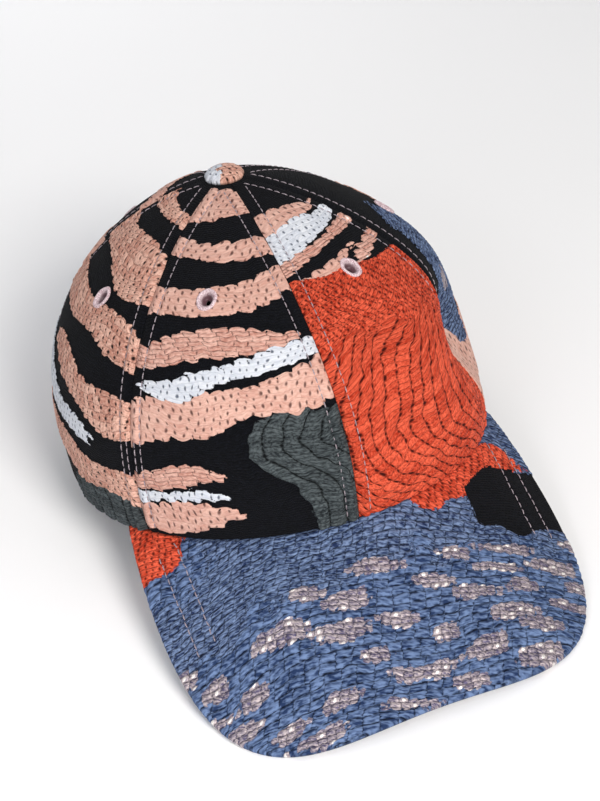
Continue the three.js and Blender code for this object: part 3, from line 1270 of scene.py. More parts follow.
@dataclass
class Gore:
    """One of the six cloth gores of the crown, from seam to seam."""

    name: str
    from_deg: float
    to_deg: float
    piercing: Piercing
    design: Design
    slot: str
    crown: CrownForm
    rest: Rest
    channels: Channels = FRONT_CHANNELS
    thickness: float = 1.8
    seam_gap: float = 0.3
    seam_dip: float = 0.9
    seam_spread: float = 1.7
    stitch_offset: float = 5.0
    edge_round: float = 0.9
    hole_radius: float = 3.2

    def middle(self) -> float:
        """Angle of the gore's middle line, in radians."""
        return float(np.radians((self.from_deg + self.to_deg) / 2))

    def flat_size(self) -> tuple[float, float, float]:
        """Width, length and area that the gore was cut to, in metres and square metres."""
        heights, lengths = self.crown.arc(self.middle())
        wide = np.radians(self.to_deg - self.from_deg) * 94.5 * self.crown.profile(heights)
        area = float(np.sum((wide[1:] + wide[:-1]) / 2 * np.diff(lengths)))
        return float(wide.max()) * METRES, float(lengths[-1]) * METRES, area * METRES**2

    def build(self) -> bpy.types.Object:
        """Builds the gore as a closed shell with its weave raised, and cuts the eyelet's hole.

        The outer grid has even steps up the cloth. Every point moves along the crown's outward
        direction by the weave's height, less the dip at the seams, the groove under each stitch row and
        the roll of the rim's edge.

        Returns:
            The finished object.
        """
        crown = self.crown
        heights, lengths = crown.arc(self.middle())
        length = lengths[-1]
        rows = INNER_STEP * int(np.ceil(length / FINE_STEP / INNER_STEP))
        wide = np.radians(self.to_deg - self.from_deg) * crown.half_width
        columns = INNER_STEP * int(np.ceil(wide / FINE_STEP / INNER_STEP))
        row_length = np.linspace(0, length, rows + 1)
        row_height = np.interp(row_length, lengths, heights)
        share = np.linspace(0, 1, columns + 1)
        half_gap = self.seam_gap / 2 / (crown.half_width * crown.profile(row_height))
        start = np.radians(self.from_deg) + half_gap
        end = np.radians(self.to_deg) - half_gap
        angle = start[:, None] + (end - start)[:, None] * share[None, :]
        height = np.broadcast_to(row_height[:, None], angle.shape)
        reach = crown.half_width * crown.profile(row_height)[:, None]
        across = (angle - self.middle()) * reach
        up = np.broadcast_to(row_length[:, None], angle.shape)
        plain = np.stack((across, up), -1)
        seed = int(self.from_deg) + 200
        place = np.stack(
            (
                across + 0.9 * drift(plain, 34, seed) + 0.28 * drift(plain, 9, seed + 1),
                up + 1.1 * drift(plain, 38, seed + 2) + 0.22 * drift(plain, 8, seed + 3),
            ),
            -1,
        )
        channels = self.channels.coordinates(place)
        fields = self.design.fields(place, channels)
        to_seam = np.minimum(angle - start[:, None], end[:, None] - angle) * reach
        from_row = np.abs(to_seam - self.stitch_offset)
        press = 1 - 0.75 * np.exp(-((from_row / 0.9) ** 2)) - 0.6 * np.exp(-((to_seam / 1.2) ** 2))
        relief = self.design.height(place, channels, fields) * np.clip(press, 0, 1)
        fade = 1 - (row_length[:, None] / length) ** 4
        dip = self.seam_dip * fade * np.exp(-((to_seam / self.seam_spread) ** 2))
        layered = 0.25 * fade * smooth(self.stitch_offset + 0.5, self.stitch_offset - 0.5, to_seam)
        groove = 0.3 * fade * np.exp(-((from_row / 0.8) ** 2))
        edge = np.maximum(self.edge_round - up, 0)
        roll = self.edge_round - np.sqrt(self.edge_round**2 - edge**2)
        lift = relief - dip + layered - groove - roll
        normal = crown.normal(angle, height)
        surface = crown.point(angle, height)
        outer = surface + normal * lift[..., None]
        inner = surface - normal * (self.thickness + dip)[..., None]
        kept = (slice(None, None, INNER_STEP), slice(None, None, INNER_STEP))
        points = np.concatenate((outer.reshape(-1, 3), inner[kept].reshape(-1, 3)))
        inside = np.full(inner[kept].shape[:2], OFF_FIELD).ravel()
        marks = {
            mark: np.concatenate((values.ravel(), inside)) for mark, values in fields.items()
        }
        for mark, values in (("cloth", place), ("channels", channels)):
            flat = np.concatenate((values.reshape(-1, 2), values[kept].reshape(-1, 2)))
            marks[mark] = np.pad(flat, ((0, 0), (0, 1)))
        piece = make_piece(
            self.name, self.rest.settle(points), shell_faces(columns, rows, INNER_STEP), marks
        )
        self._pierce(piece)
        return piece

    def _pierce(self, piece: bpy.types.Object) -> None:
        """Cuts the eyelet's oval hole through the gore."""
        around = 28
        turn = np.linspace(0, 2 * PI, around, endpoint=False)
        oval = np.stack((np.cos(turn) / EYELET_STRETCH, np.sin(turn) * EYELET_STRETCH), -1)
        rim = oval * self.hole_radius
        rings = np.stack([np.pad(rim, ((0, 0), (0, 1)), constant_values=z) for z in (-7.0, 7.0)])
        ends = np.array(((0, 0, -7.0), (0, 0, 7.0)))
        local = np.concatenate((rings.reshape(-1, 3), ends))
        spot = seat_on_crown(self.crown, self.piercing)
        points = self.rest.settle(spot.place(local), pressed=False)
        drill = make_piece(f"{self.name}_drill", points, ring_faces(2, around, closed=False))
        modifier = piece.modifiers.new("eyelet hole", "BOOLEAN")
        modifier.object = drill
        modifier.operation = "DIFFERENCE"
        modifier.solver = "MANIFOLD"
        bpy.context.view_layer.update()
        shaped = piece.evaluated_get(bpy.context.evaluated_depsgraph_get())
        cut = bpy.data.meshes.new_from_object(shaped)
        piece.modifiers.remove(modifier)
        bpy.data.objects.remove(drill)
        piece.data = cut
        cut.name = self.name


@dataclass(frozen=True)
class Seat:
    """Place and directions of something sewn on the crown, with its third axis out of the cloth."""

    middle: Array
    axes: Array

    def place(self, points: Array) -> Array:
        """Moves points from the seat's own axes to the crown's frame."""
        return self.middle + points @ self.axes


def seat_on_crown(crown: CrownForm, piercing: Piercing) -> Seat:
    """Finds the seat of an eyelet.

    Args:
        crown: The crown that carries it.
        piercing: Its angle and height.

    Returns:
        The seat, with its first axis level along the crown.
    """
    angle = np.array(np.radians(piercing.angle_deg))
    height = np.array(piercing.height)
    out = crown.normal(angle, height)
    level = unit(np.cross(np.array((0.0, 0.0, 1.0)), out))
    return Seat(crown.point(angle, height), np.stack((level, np.cross(out, level), out)))


@dataclass
class SewnEyelet:
    """Ring of satin stitches round a sewn hole, wrapped over both faces of the cloth."""

    name: str
    piercing: Piercing
    crown: CrownForm
    rest: Rest
    thickness: float = 1.8
    hole_radius: float = 1.1
    barrel_radius: float = 2.5
    outer_radius: float = 4.7
    rise: float = 1.15
    strands: int = 46
    strand_height: float = 0.13

    def build(self) -> bpy.types.Object:
        """Builds the ring: a rounded outline carried round the hole, ridged by its strands.

        Each outline point's distance from the hole and its level gain a ripple with one wave for each
        strand, strongest on the raised rim.

        Returns:
            The finished object.
        """
        below = -self.thickness - 0.5
        outline = np.array(
            (
                (self.hole_radius, below - 0.2),
                (self.hole_radius + 0.6, below - 0.6),
                (3.4, below - 0.5),
                (3.8, below),
                (self.barrel_radius, below + 0.1),
                (self.barrel_radius, 0.15),
                (self.outer_radius - 0.35, 0.15),
                (self.outer_radius, 0.42),
                (self.outer_radius - 0.1, self.rise - 0.35),
                (self.outer_radius - 0.4, self.rise),
                (self.outer_radius - 0.85, self.rise + 0.12),
                (self.outer_radius - 1.35, self.rise - 0.05),
                (self.barrel_radius + 0.25, 0.35),
                (self.barrel_radius - 0.3, -0.45),
                (self.barrel_radius - 0.7, -1.1),
                (self.hole_radius + 0.25, -1.6),
                (self.hole_radius, -1.8),
            )
        )
        around = self.strands * 4
        turn = np.linspace(0, 2 * PI, around, endpoint=False)
        above = smooth(-0.6, 0.6, outline[:, 1])[:, None]
        ripple = self.strand_height * above * np.abs(np.cos(turn * self.strands / 2))[None, :]
        sway = 1 + 0.035 * np.sin(2 * turn + 0.6)[None, :] + 0.02 * np.sin(5 * turn)[None, :]
        reach = (outline[:, 0][:, None] + 0.6 * ripple) * np.where(outline[:, 0][:, None] > 2, sway, 1)
        level = outline[:, 1][:, None] + ripple
        across, up = reach * np.cos(turn) / EYELET_STRETCH, reach * np.sin(turn) * EYELET_STRETCH
        local = np.stack((across, up, level), -1).reshape(-1, 3)
        spot = seat_on_crown(self.crown, self.piercing)
        points = self.rest.settle(spot.place(local), pressed=False)
        # Painted shade: depth is 1 down in the hole and under the cloth and 0 on the raised rim, and the
        # thread's colour darkens by it
        depth = np.repeat(smooth(0.9, -0.7, outline[:, 1]), around)
        return make_piece(self.name, points, ring_faces(len(outline), around, closed=True), {"depth": depth})


@dataclass
class CoveredButton:
    """Domed button on the top, covered with the same cloth."""

    name: str
    design: Design
    crown: CrownForm
    rest: Rest
    radius: float = 8.3
    height: float = 4.3
    seat_gap: float = 0.35
    rings: int = 40
    around: int = 112

    def build(self) -> bpy.types.Object:
        """Builds the button as rings from the middle of its underside to its crest.

        The underside follows the crown's top, whose level falls with the 1.49th power of the radius.
        The dome's level is a quarter sine of the turn, its radius the cosine. Small gathers deepen
        towards its edge.

        Returns:
            The finished object.
        """
        crown = self.crown
        drop = crown.height / crown.height_power

        def crest(radius: Array) -> Array:
            """Level of the crown's top below its highest point."""
            return -drop * (radius / crown.half_width) ** crown.radius_power

        below_radius = np.linspace(0, self.radius, 9)[1:]
        below_level = crest(below_radius) + self.seat_gap
        rim_level = float(crest(np.array(self.radius))) + self.seat_gap + 0.8
        turn_up = np.linspace(0, PI / 2, self.rings + 1)[1:-1]
        dome_radius = self.radius * np.cos(turn_up)
        dome_level = rim_level + (self.height - rim_level) * np.sin(turn_up)
        radius = np.concatenate((below_radius, dome_radius))[:, None]
        level = np.concatenate((below_level, dome_level))[:, None]
        angle = np.linspace(0, 2 * PI, self.around, endpoint=False)[None, :]
        dome = np.concatenate((np.zeros(below_radius.size), np.ones(dome_radius.size)))[:, None]
        gather = 0.16 * np.sin(14 * angle + 1.3 * np.sin(3 * angle)) * smooth(0.55, 1, radius / self.radius)
        place = np.stack((radius * 1.15 * np.cos(angle), radius * 1.15 * np.sin(angle)), -1)
        fields = self.design.fields(place, place)
        relief = 0.55 * self.design.height(place, place, fields)
        push = dome * (relief - 0.3 + gather)
        slope = radius / self.radius
        reach = radius + push * slope
        rise = level + push * np.sqrt(np.maximum(1 - slope**2, 0.05))
        rings = np.stack((reach * np.cos(angle), reach * np.sin(angle), rise + 0 * angle), -1)
        ends = np.array(((0, 0, self.seat_gap), (0, 0, self.height + 0.1)))
        local = np.concatenate((rings.reshape(-1, 3), ends)) + (0, crown.top_shift, crown.height)
        marks = {mark: np.append(values.ravel(), values[[0, -1], 0]) for mark, values in fields.items()}
        flat = np.concatenate((place.reshape(-1, 2), np.zeros((2, 2))))
        marks["cloth"] = marks["channels"] = np.pad(flat, ((0, 0), (0, 1)))
        points = self.rest.settle(local, pressed=False)
        return make_piece(self.name, points, ring_faces(radius.size, self.around, closed=False), marks)


@dataclass
class Brim:
    """Curved brim: two layers of cloth over a stiff board, with a rounded edge."""

    name: str
    design: Design
    crown: CrownForm
    rest: Rest
    width: float = 181.8
    length: float = 64.9
    corner_power: float = 3.74
    back_y: float = -44.0
    taper: float = 0.09
    front_drop: float = 44.3
    front_camber: float = 17.9
    thickness: float = 3.6
    root_end_deg: float = 62.5
    edge_end: float = 0.03
    seam_gap: float = 0.3
    wall: float = 1.8
    columns: int = 504
    rows: int = 140
    edge_rows: int = 7
    slope: float = 1.085  # length of cloth for each millimetre forward
    stitch_sides: tuple[float, ...] = (-77.0, -69.5, 71.5, 79.0)

    def outline(self, turn: Array) -> Array:
        """Edge of the brim: a superellipse seen from above, dropping to the front and to the sides.

        Args:
            turn: From -90 degrees at the wearer's right to 90 at the left, in radians.

        Returns:
            Points in the crown's own frame.
        """
        side = np.sin(turn)
        reach = np.abs(np.cos(turn)) ** (2 / self.corner_power)
        spread = np.sign(side) * np.abs(side) ** (2 / self.corner_power)
        x = self.width / 2 * spread * (1 - self.taper * np.exp(-3 * reach))
        front_y = -self.crown.half_length - self.length
        arch = self.crown.arch_height
        middle = arch - (self.front_drop + arch) * reach
        camber = arch + (self.front_camber - arch) * reach
        y = self.back_y + (front_y - self.back_y) * reach
        return np.stack((x, y, middle - camber * (x / (self.width / 2)) ** 2), -1)

    def even(self, line: Array) -> Array:
        """Points at even distances along a line, one for each column and one more."""
        lengths = np.concatenate(([0.0], np.cumsum(np.linalg.norm(np.diff(line, axis=0), axis=1))))
        places = np.linspace(0, lengths[-1], self.columns + 1)
        return np.stack([np.interp(places, lengths, line[:, axis]) for axis in range(3)], -1)

    def surfaces(self) -> tuple[Array, Array, Array]:
        """Grids of the top and the underside, and the outward direction of the top.

        Straight spans run from the root to a little inside the edge, and a half-round of the board's
        half thickness closes the edge. The first row goes on under the crown's wall.

        Returns:
            Top points, underside points and top directions, rows by columns.
        """
        last = np.arccos(self.edge_end ** (self.corner_power / 2))
        edge = self.even(self.outline(np.linspace(-last, last, 4000)))
        angles = np.radians(self.root_end_deg) * np.linspace(-1, 1, 4000)
        root = self.even(self.crown.point(angles, np.zeros_like(angles)) - (0, 0, self.seam_gap))
        out = unit(edge - root)
        both = root + edge
        along = unit(np.concatenate((both[1:2] - both[:1], both[2:] - both[:-2], both[-1:] - both[-2:-1])))
        up = unit(np.cross(along, out))
        up *= np.where(up[:, 2:] < 0, -1, 1)
        half = self.thickness / 2
        end = edge - out * half
        level = unit(root * (-1, -1, 0))
        hidden = root + level * self.wall
        share = np.linspace(0, 1, self.rows)[:, None, None]
        spans = root + (end - root) * share
        turn = np.linspace(0, PI / 2, self.edge_rows + 2)[1:, None, None]
        curl_top = end + up * half * (np.cos(turn) - 1) + out * half * np.sin(turn)
        curl_low = end - up * half * (np.cos(turn) + 1) + out * half * np.sin(turn)
        curl_low[-1] -= 0.06 * up
        top = np.concatenate((hidden[None], spans, curl_top))
        low = np.concatenate((hidden[None], spans, np.zeros_like(curl_low)))
        low[: self.rows + 1] -= up * self.thickness
        low[self.rows + 1 :] = curl_low
        facing = np.broadcast_to(up, spans.shape)
        rounding = up * np.cos(turn) + out * np.sin(turn)
        return top, low, np.concatenate((up[None], facing, rounding))

    def place(self, points: Array) -> Array:
        """Cloth coordinates: across is x, and up is the length of cloth forward from the centre root."""
        forward = -(points[..., 1] + self.crown.half_length) * self.slope
        across = points[..., 0]
        plain = np.stack((across, forward), -1)
        bow = 1.7 * drift(plain, 75, 31) + 0.2 * drift(plain, 14, 32)
        return np.stack((across + 0.3 * drift(plain, 16, 33), forward + bow), -1)

    def build(self) -> bpy.types.Object:
        """Builds the brim with its weave raised and grooves under its stitch rows."""
        top, low, facing = self.surfaces()
        rows, columns = top.shape[0] - 1, top.shape[1] - 1
        assert rows % INNER_STEP == 0 and columns % INNER_STEP == 0, (rows, columns)
        place = self.place(top)
        fields = self.design.fields(place, place)
        row_number = np.arange(rows + 1)[:, None]
        fade = smooth(rows, rows - self.edge_rows, row_number) * smooth(0, 3, row_number)
        groove = np.zeros(top.shape[:2])
        for side in self.stitch_sides:
            near = np.exp(-(((top[..., 0] - side) / 0.9) ** 2))
            groove = np.maximum(groove, near * smooth(17, 12, place[..., 1]))
        relief = self.design.height(place, place, fields) * (1 - 0.7 * groove) - 0.35 * groove
        outer = top + facing * (relief * fade)[..., None]
        kept = (slice(None, None, INNER_STEP), slice(None, None, INNER_STEP))
        points = np.concatenate((outer.reshape(-1, 3), low[kept].reshape(-1, 3)))
        marks = {
            mark: np.concatenate((values.ravel(), values[kept].ravel())) for mark, values in fields.items()
        }
        flat = np.concatenate((place.reshape(-1, 2), place[kept].reshape(-1, 2)))
        marks["cloth"] = marks["channels"] = np.pad(flat, ((0, 0), (0, 1)))
        faces = shell_faces(columns, rows, INNER_STEP)
        return make_piece(self.name, self.rest.settle(points), faces, marks)


@dataclass(frozen=True)
class StitchRow:
    """Line that a row of stitches follows, as points and outward directions in the crown's frame."""

    points: Array
    facing: Array


@dataclass
class TopStitching:
    """Rows of short stitches, each a rounded length of thread lying in its groove."""

    name: str
    rows: Sequence[StitchRow]
    rest: Rest
    pitch: float = 3.4
    length: float = 2.8
    width: float = 0.5
    lift: float = 0.24

    def build(self) -> bpy.types.Object:
        """Builds all the rows as one mesh.

        A stitch is five rings about its own axis, whose radius is the square root of 1 less the fourth
        power of the place along it. Its ends dip into the cloth.

        Returns:
            The finished object.
        """
        around, count = 7, 5
        along = np.linspace(-0.86, 0.86, count)[:, None]
        turn = np.linspace(0, 2 * PI, around, endpoint=False)[None, :]
        radius = self.width / 2 * np.sqrt(1 - along**4)
        lift = 0.8 * radius * np.sin(turn) - 0.22 * along**2
        ring = np.stack((along * self.length / 2 + 0 * turn, radius * np.cos(turn), lift), -1)
        ends = np.array(((-self.length / 2, 0, -0.24), (self.length / 2, 0, -0.24)))
        template = np.concatenate((ring.reshape(-1, 3), ends))
        quads, triangles = ring_faces(count, around, closed=False)
        middles, axes = [], []
        for row in self.rows:
            lengths = np.concatenate(
                ([0.0], np.cumsum(np.linalg.norm(np.diff(row.points, axis=0), axis=1)))
            )
            spots = np.arange(self.pitch / 2, lengths[-1], self.pitch)
            middle = np.stack([np.interp(spots, lengths, row.points[:, a]) for a in range(3)], -1)
            ahead = np.stack([np.interp(spots + 0.8, lengths, row.points[:, a]) for a in range(3)], -1)
            behind = np.stack([np.interp(spots - 0.8, lengths, row.points[:, a]) for a in range(3)], -1)
            out = unit(np.stack([np.interp(spots, lengths, row.facing[:, a]) for a in range(3)], -1))
            run = unit(ahead - behind)
            side = unit(np.cross(out, run))
            middles.append(middle + out * self.lift)
            axes.append(np.stack((run, side, np.cross(run, side)), 1))
        middle, axis = np.concatenate(middles), np.concatenate(axes)
        points = middle[:, None, :] + np.einsum("pa,sac->spc", template, axis)
        offset = (np.arange(len(middle)) * len(template))[:, None, None]
        all_quads = (quads[None] + offset).reshape(-1, 4)
        all_triangles = (triangles[None] + offset).reshape(-1, 3)
        settled = self.rest.settle(points, pressed=False)
        return make_piece(self.name, settled, (all_quads, all_triangles))


def seam_rows(crown: CrownForm, seams_deg: Sequence[float], offset: float) -> list[StitchRow]:
    """Stitch rows on both sides of the crown's seams.

    Args:
        crown: The crown.
        seams_deg: Angles of the seams.
        offset: Distance of a row from its seam, in millimetres.

    Returns:
        Two rows for each seam, from just above the rim to just short of the button.
    """
    rows = []
    for seam in seams_deg:
        heights, lengths = crown.arc(float(np.radians(seam)))
        reach = crown.half_width * crown.profile(heights)
        kept = (lengths > 2.5) & (reach > 11.5)
        for side in (-1, 1):
            angle = np.radians(seam) + side * offset / reach[kept]
            rows.append(StitchRow(crown.point(angle, heights[kept]), crown.normal(angle, heights[kept])))
    return rows


def foot_rows(crown: CrownForm, seam_deg: float, offsets: Sequence[float], length: float) -> list[StitchRow]:
    """Extra short stitch rows at the foot of one seam, one for each offset, up to a length of cloth."""
    heights, lengths = crown.arc(float(np.radians(seam_deg)))
    kept = (lengths > 1.5) & (lengths < length)
    reach = crown.half_width * crown.profile(heights[kept])
    rows = []
    for offset in offsets:
        angle = np.radians(seam_deg) + offset / reach
        rows.append(StitchRow(crown.point(angle, heights[kept]), crown.normal(angle, heights[kept])))
    return rows


def brim_rows(brim: Brim, back_y: float, front_y: float) -> list[StitchRow]:
    """Straight stitch rows on the brim, from its root forward, on its top surface."""
    top, _, facing = brim.surfaces()
    flat = top[2 : brim.rows].reshape(-1, 3)
    directions = facing[2 : brim.rows].reshape(-1, 3)
    rows = []
    for side in brim.stitch_sides:
        forward = np.linspace(back_y, front_y, 60)
        gaps = (flat[:, 0][None, :] - side) ** 2 + (flat[:, 1][None, :] - forward[:, None]) ** 2
        nearest = np.argmin(gaps, axis=1)
        close = gaps[np.arange(forward.size), nearest] < 1.0
        rows.append(StitchRow(flat[nearest[close]], directions[nearest[close]]))
    return rows


# Designs: stripes, colour blocks and flecks in a layout of their own


FRONT_RIGHT = Design(
    (GREEN, PINK, PINK_ROWS, WHITE),
    (
        Band(PINK, 12, 5.5, 0.03, end=2),
        Band(WHITE, 20.5, 3.0, 0.02, end=-6),
        Band(PINK_ROWS, 29, 4.6, 0.02, end=-2),
        Band(PINK, 58, 8.2, 0.2),
        Band(WHITE, 72, 4.6, 0.16, start=-36),
        Band(PINK_ROWS, 84, 6.0, 0.12, end=30),
        Band(PINK, 106, 7.2, 0.1),
        Band(PINK, 131, 5.4, -0.06),
        Band(PINK, 157, 9.0, 0.05),
        Patch(GREEN, 34, 20, 40, 37, 7, wobble=0.3),
    ),
)
SIDE_RIGHT = Design(
    (GREEN, SCALES, WHITE),
    (
        Band(SCALES, 24, 6.5, -0.1),
        Band(WHITE, 42, 6.0, -0.18, start=-60, end=26),
        Band(SCALES, 58, 6.5, -0.2, start=-20),
        Band(SCALES, 82, 6.5, -0.12),
        Band(SCALES, 112, 10.0, -0.2),
        Band(SCALES, 138, 5.0, -0.1),
        Patch(GREEN, 2, 2, 30, 17, 4),
    ),
)
FRONT_LEFT = Design(
    (PINK, PINK_ROWS, WHITE, ORANGE, ORANGE_CHANNELS),
    (
        Patch(ORANGE, 6, 30, 80, 70, 9, turn_deg=-11, wobble=0.5),
        Patch(ORANGE_CHANNELS, -40, 22, 66, 52, 5.0, wobble=2.4),
        Band(PINK, 108, 3.6, 0.18, start=-60, end=12),
        Band(WHITE, 128, 6.8, 0.1, start=-60, end=20),
        Band(PINK_ROWS, 118.5, 3.6, 0.1, start=-60, end=24),
        Band(PINK, 141, 5.6, 0.04, start=-60, end=14),
        Band(PINK_ROWS, 100, 4.2, 0.35, start=2, end=40),
    ),
)
SIDE_LEFT = Design(
    (PINK, BLUE, TINSEL),
    (
        Band(PINK, 22, 13.0, 0.0),
        Patch(BLUE, -14, 62, 15, 40, 2.0, turn_deg=-8),
        Patch(TINSEL, -16, 54, 2.6, 6.5, 2.4, turn_deg=14),
        Band(PINK, 58, 5.0, 0.1, start=10),
        Band(PINK, 96, 5.0, -0.1, start=14),
    ),
)
BACK_LEFT = Design(
    (PINK, BLUE),
    (
        Band(PINK, 20, 6.5, 0.1),
        Band(PINK, 46, 5.0, 0.08, start=-16),
        Band(PINK, 74, 5.5, 0.06, end=10),
        Patch(BLUE, -30, 96, 16, 9, 2.2, turn_deg=-20),
    ),
)
BACK_RIGHT = Design(
    (PINK, WHITE),
    (
        Band(PINK, 18, 6.5, -0.08),
        Band(WHITE, 36, 4.0, -0.1, end=18),
        Band(PINK, 56, 6.0, -0.1),
        Band(PINK, 88, 6.0, -0.1),
        Band(PINK, 118, 5.5, 0.05),
    ),
)
BUTTON_DESIGN = Design(
    (SCALES, WHITE),
    (Patch(SCALES, 2, -2, 14, 13), Patch(WHITE, -9, 1, 8, 10, 2.2, turn_deg=20)),
)


FIRST_FLECK_ROW = 17.0  # mm in front of the brim's root
FLECK_ROW_GAP = 9.4
FLECK_GAP = 29.0


def fleck_patches() -> tuple[Patch, ...]:
    """Flecks of metallised thread over the front of the brim: long ovals on a loose lattice of their own.

    Every other row is moved on by half a space. Each oval's place, size and slant are drawn from a
    seeded random source.

    Returns:
        The flecks.
    """
    source = np.random.default_rng(27)
    found = []
    for row in range(6):
        forward = FIRST_FLECK_ROW + FLECK_ROW_GAP * row
        for column in range(-3, 4):
            if source.random() < 0.1:
                continue
            side = FLECK_GAP * (column + 0.5 * (row % 2)) + source.uniform(-5, 5)
            found.append(
                Patch(
                    TINSEL,
                    side,
                    forward + source.uniform(-1.6, 1.6),
                    source.uniform(6.5, 12.5),
                    source.uniform(2.4, 3.9),
                    2.3,
                    source.uniform(1, 13),
                    0.5,
                )
            )
    return tuple(found)


BRIM_DESIGN = Design(
    (BLUE, BLUE_PUFFS, ORANGE, GROUND, TINSEL),
    (
        Patch(BLUE, 0, 0, 400, 400),
        Patch(BLUE_PUFFS, 0, 52, 120, 36, 4.0, wobble=4.0),
        Patch(BLUE_PUFFS, -80, -26, 22, 12, 2.4, turn_deg=30),
        Patch(ORANGE, -88, -42, 24, 15, 2.6, turn_deg=28),
        Patch(ORANGE, 52, -14, 32, 9.5, 3.2, turn_deg=-18),
        Patch(GROUND, 78, -5, 30, 14.5, 2.6, turn_deg=-12),
        *fleck_patches(),
    ),
)


# Studio


@dataclass(frozen=True)
class Studio:
    """Plain pale floor, soft light and the camera at the photograph's angle."""

    camera_place: tuple[float, float, float] = (-0.18183, -0.49583, 0.52877)
    camera_target: tuple[float, float, float] = (0.00293, 0.00601, 0.04987)
    camera_roll_deg: float = -3.2886
    lens_mm: float = 75.833

    def build(self) -> None:
        """Sets up the floor, the lights, the surroundings and the camera."""
        scene = bpy.context.scene
        scene.view_settings.view_transform = "Standard"
        self._floor()
        middle = (0.0, 0.0, 0.05)
        self._light("key_softbox", (0.22, -1.22, 1.15), middle, 0.6, 19.8, "#FFFBF6")
        self._light("side_softbox", (-1.0, -0.9, 0.8), middle, 0.8, 2.5, "#F9F9FF")
        self._light("brim_softbox", (-0.45, -0.42, 0.5), (-0.14, -0.16, 0.0), 0.25, 0.12, "#F9F9FF", 48.0)
        self._light("overhead_softbox", (0.2, -0.2, 1.6), middle, 1.5, 4.5, "#F8F9FF")
        self._light("back_softbox", (0.0, 1.5, 1.3), middle, 1.2, 2.0, "#F9FBFF")
        self._light("floor_softbox", (-0.1, 0.75, 0.9), (-0.1, 0.8, 0.0), 0.8, 1.1, "#FBFBFF", 80.0)
        world = bpy.data.worlds.new("studio_walls")
        world.use_nodes = True
        world.node_tree.nodes.clear()
        sky = add_node(
            world.node_tree, "ShaderNodeBackground", {"Color": linear("#F7F8FA"), "Strength": 0.3}
        )
        add_node(world.node_tree, "ShaderNodeOutputWorld", {"Surface": sky.outputs[0]})
        scene.world = world
        self._camera()

    @staticmethod
    def _floor() -> None:
        """Lays the floor: matt white paint with a faint unevenness."""
        half = 4.0
        corners = np.array(((-half, -half, 0), (half, -half, 0), (half, half, 0), (-half, half, 0)))
        mesh = bpy.data.meshes.new("floor")
        mesh.from_pydata(corners.tolist(), [], [(0, 1, 2, 3)])
        floor = bpy.data.objects.new("floor", mesh)
        bpy.context.scene.collection.objects.link(floor)
        material = bpy.data.materials.new("matt_white_paint")
        material.use_nodes = True
        tree = material.node_tree
        tree.nodes.clear()
        place = add_node(tree, "ShaderNodeTexCoord").outputs["Object"]
        mottle = add_node(tree, "ShaderNodeTexNoise", {"Vector": place, "Scale": 3.0}).outputs["Fac"]
        colour = add_node(
            tree,
            "ShaderNodeMix",
            {0: mottle, 6: linear("#F8F8F8"), 7: linear("#FDFDFD")},
            data_type="RGBA",
        ).outputs[2]
        shader = add_node(tree, "ShaderNodeBsdfPrincipled", {"Base Color": colour, "Roughness": 0.8})
        add_node(tree, "ShaderNodeOutputMaterial", {"Surface": shader.outputs[0]})
        mesh.materials.append(material)

    @staticmethod
    def _light(
        name: str,
        place: tuple[float, float, float],
        target: tuple[float, float, float],
        size: float,
        watts: float,
        tint: str,
        spread_deg: float = 180.0,
    ) -> None:
        """Hangs a square softbox that faces its target, with a grid where its spread is narrow."""
        data = bpy.data.lights.new(name, "AREA")
        data.size = size
        data.energy = watts
        data.color = linear(tint)[:3]
        data.spread = np.radians(spread_deg)
        lamp = bpy.data.objects.new(name, data)
        back = unit(np.array(place) - target)
        lamp.matrix_world = looking_matrix(np.array(place), back, 0.0)
        bpy.context.scene.collection.objects.link(lamp)

    def _camera(self) -> None:
        """Places the camera, rolled about its own line of sight."""
        data = bpy.data.cameras.new("camera")
        data.lens = self.lens_mm
        data.sensor_width = 36.0
        data.clip_start = 0.01
        camera = bpy.data.objects.new("camera", data)
        place = np.array(self.camera_place)
        back = unit(place - np.array(self.camera_target))
        camera.matrix_world = looking_matrix(place, back, np.radians(self.camera_roll_deg))
        bpy.context.scene.collection.objects.link(camera)
        bpy.context.scene.camera = camera


def looking_matrix(place: Array, back: Array, roll: float) -> Matrix:
    """Matrix of something that looks along its own -Z.

    Args:
        place: Where it is.
        back: Direction from its target to it.
        roll: Turn about its line of sight, in radians.

    Returns:
        The matrix, with its X axis level before the roll.
    """
    level = unit(np.cross((0.0, 0.0, 1.0), back))
    upright = np.cross(back, level)
    right = np.cos(roll) * level + np.sin(roll) * upright
    up = np.cos(roll) * upright - np.sin(roll) * level
    rows = np.stack((right, up, back, place), axis=1)
    return Matrix([*rows.tolist(), [0.0, 0.0, 0.0, 1.0]])


# Assembly


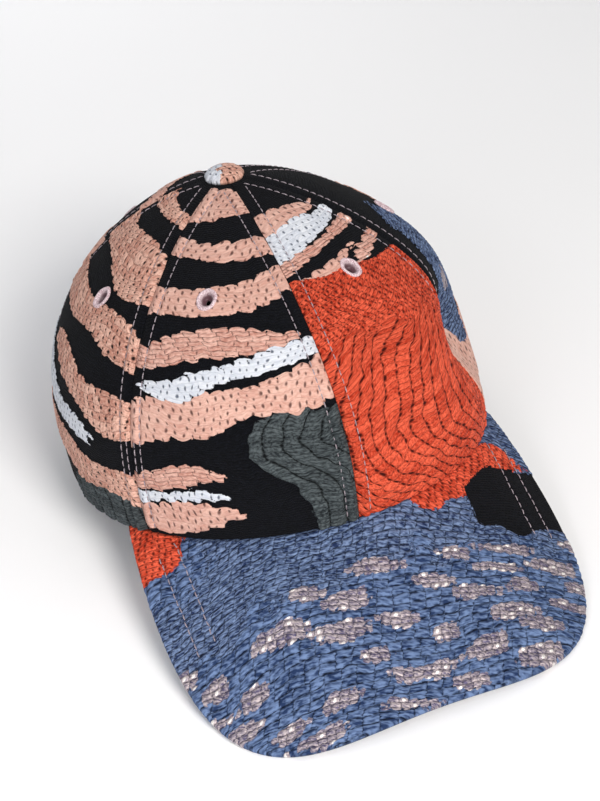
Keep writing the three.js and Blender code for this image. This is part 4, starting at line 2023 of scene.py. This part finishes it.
@dataclass
class Cap:
    """The whole cap: gores, brim, button, eyelets and stitching, each riding on the one body."""

    crown: CrownForm
    rest: Rest

    def gores(self) -> list[Gore]:
        """The six gores, with their seams, eyelets and designs."""
        common = {"crown": self.crown, "rest": self.rest}
        return [
            Gore("front_left", 0, 56, Piercing(26.5, 0.56), FRONT_LEFT, "orange_jacquard", **common),
            Gore("side_left", 56, 118, Piercing(87.0, 0.535), SIDE_LEFT, "dark_jacquard", **common),
            Gore("back_left", 118, 180, Piercing(149.0, 0.55), BACK_LEFT, "dark_jacquard", **common),
            Gore("back_right", 180, 242, Piercing(211.0, 0.55), BACK_RIGHT, "dark_jacquard", **common),
            Gore(
                "side_right", -118, -56, Piercing(-80.5, 0.525), SIDE_RIGHT, "banded_jacquard",
                channels=SIDE_CHANNELS, **common,
            ),
            Gore(
                "front_right", -56, 0, Piercing(-32.5, 0.572), FRONT_RIGHT, "banded_jacquard",
                channels=SIDE_CHANNELS, **common,
            ),
        ]

    def build(self) -> None:
        """Builds, dresses and declares every piece."""
        for gore in self.gores():
            piece = gore.build()
            piece.name = f"cloth_{gore.name}"
            piece.data.materials.clear()
            piece.data.materials.append(Jacquard(f"woven_jacquard_{gore.name}", gore.design.weaves).dress())
            declare(piece, f"panel_{gore.name}")
            width, length, area = gore.flat_size()
            sizes = (width * 1e3, length * 1e3, area * 1e6)
            log.info("%s cut flat to %.1f by %.1f mm, %.0f mm2", piece.name, *sizes)
            ring = SewnEyelet(f"thread_eyelet_{gore.name}", gore.piercing, self.crown, self.rest).build()
            ring.data.materials.append(EYELET_THREAD.dress())
            declare(ring, f"eyelet_{gore.name}")
        brim = Brim("cloth_brim", BRIM_DESIGN, self.crown, self.rest)
        piece = brim.build()
        piece.data.materials.append(Jacquard("woven_jacquard_brim", BRIM_DESIGN.weaves).dress())
        declare(piece, "brim")
        button = CoveredButton("cloth_button", BUTTON_DESIGN, self.crown, self.rest).build()
        button.data.materials.append(Jacquard("woven_jacquard_button", BUTTON_DESIGN.weaves).dress())
        declare(button, "button")
        seams = seam_rows(self.crown, (0, 56, 118, 180, -118, -56), 5.0)
        seams += foot_rows(self.crown, -56, (-2.0, 2.0), 46)
        for name, rows in (("seam_stitches", seams), ("brim_stitches", brim_rows(brim, -66, -107))):
            stitches = TopStitching(name, rows, self.rest).build()
            stitches.data.materials.append(SEAM_THREAD.dress())
            declare(stitches, None)


def declare(piece: bpy.types.Object, node: str | None) -> None:
    """Says what a piece rides on and which CAD node it stands for.

    Args:
        piece: The finished piece.
        node: The CAD node that it replaces, or None for one that is only added.
    """
    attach(piece, BODY)
    if node:
        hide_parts(node)
    faces = piece.data.loop_triangles
    piece.data.calc_loop_triangles()
    log.info("%s: %d triangles on body %s", piece.name, len(faces), BODY)


EYELET_THREAD = SewingThread(
    "polyester_thread_eyelet", light="#F2E0E3", dark="#B08C95", painted_hole_shade="#5A3A42", roughness=0.35
)
SEAM_THREAD = SewingThread("polyester_thread_seam", light="#B7ABB1", dark="#7A6D77", painted_hole_shade="#7A6D77")


def main() -> None:
    """Builds the cap around its frame, and then the studio."""
    logging.basicConfig(level=logging.INFO, format="%(name)s: %(message)s")
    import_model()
    Cap(CrownForm(), Rest()).build()
    Studio().build()


if __name__ == "__main__":
    main()
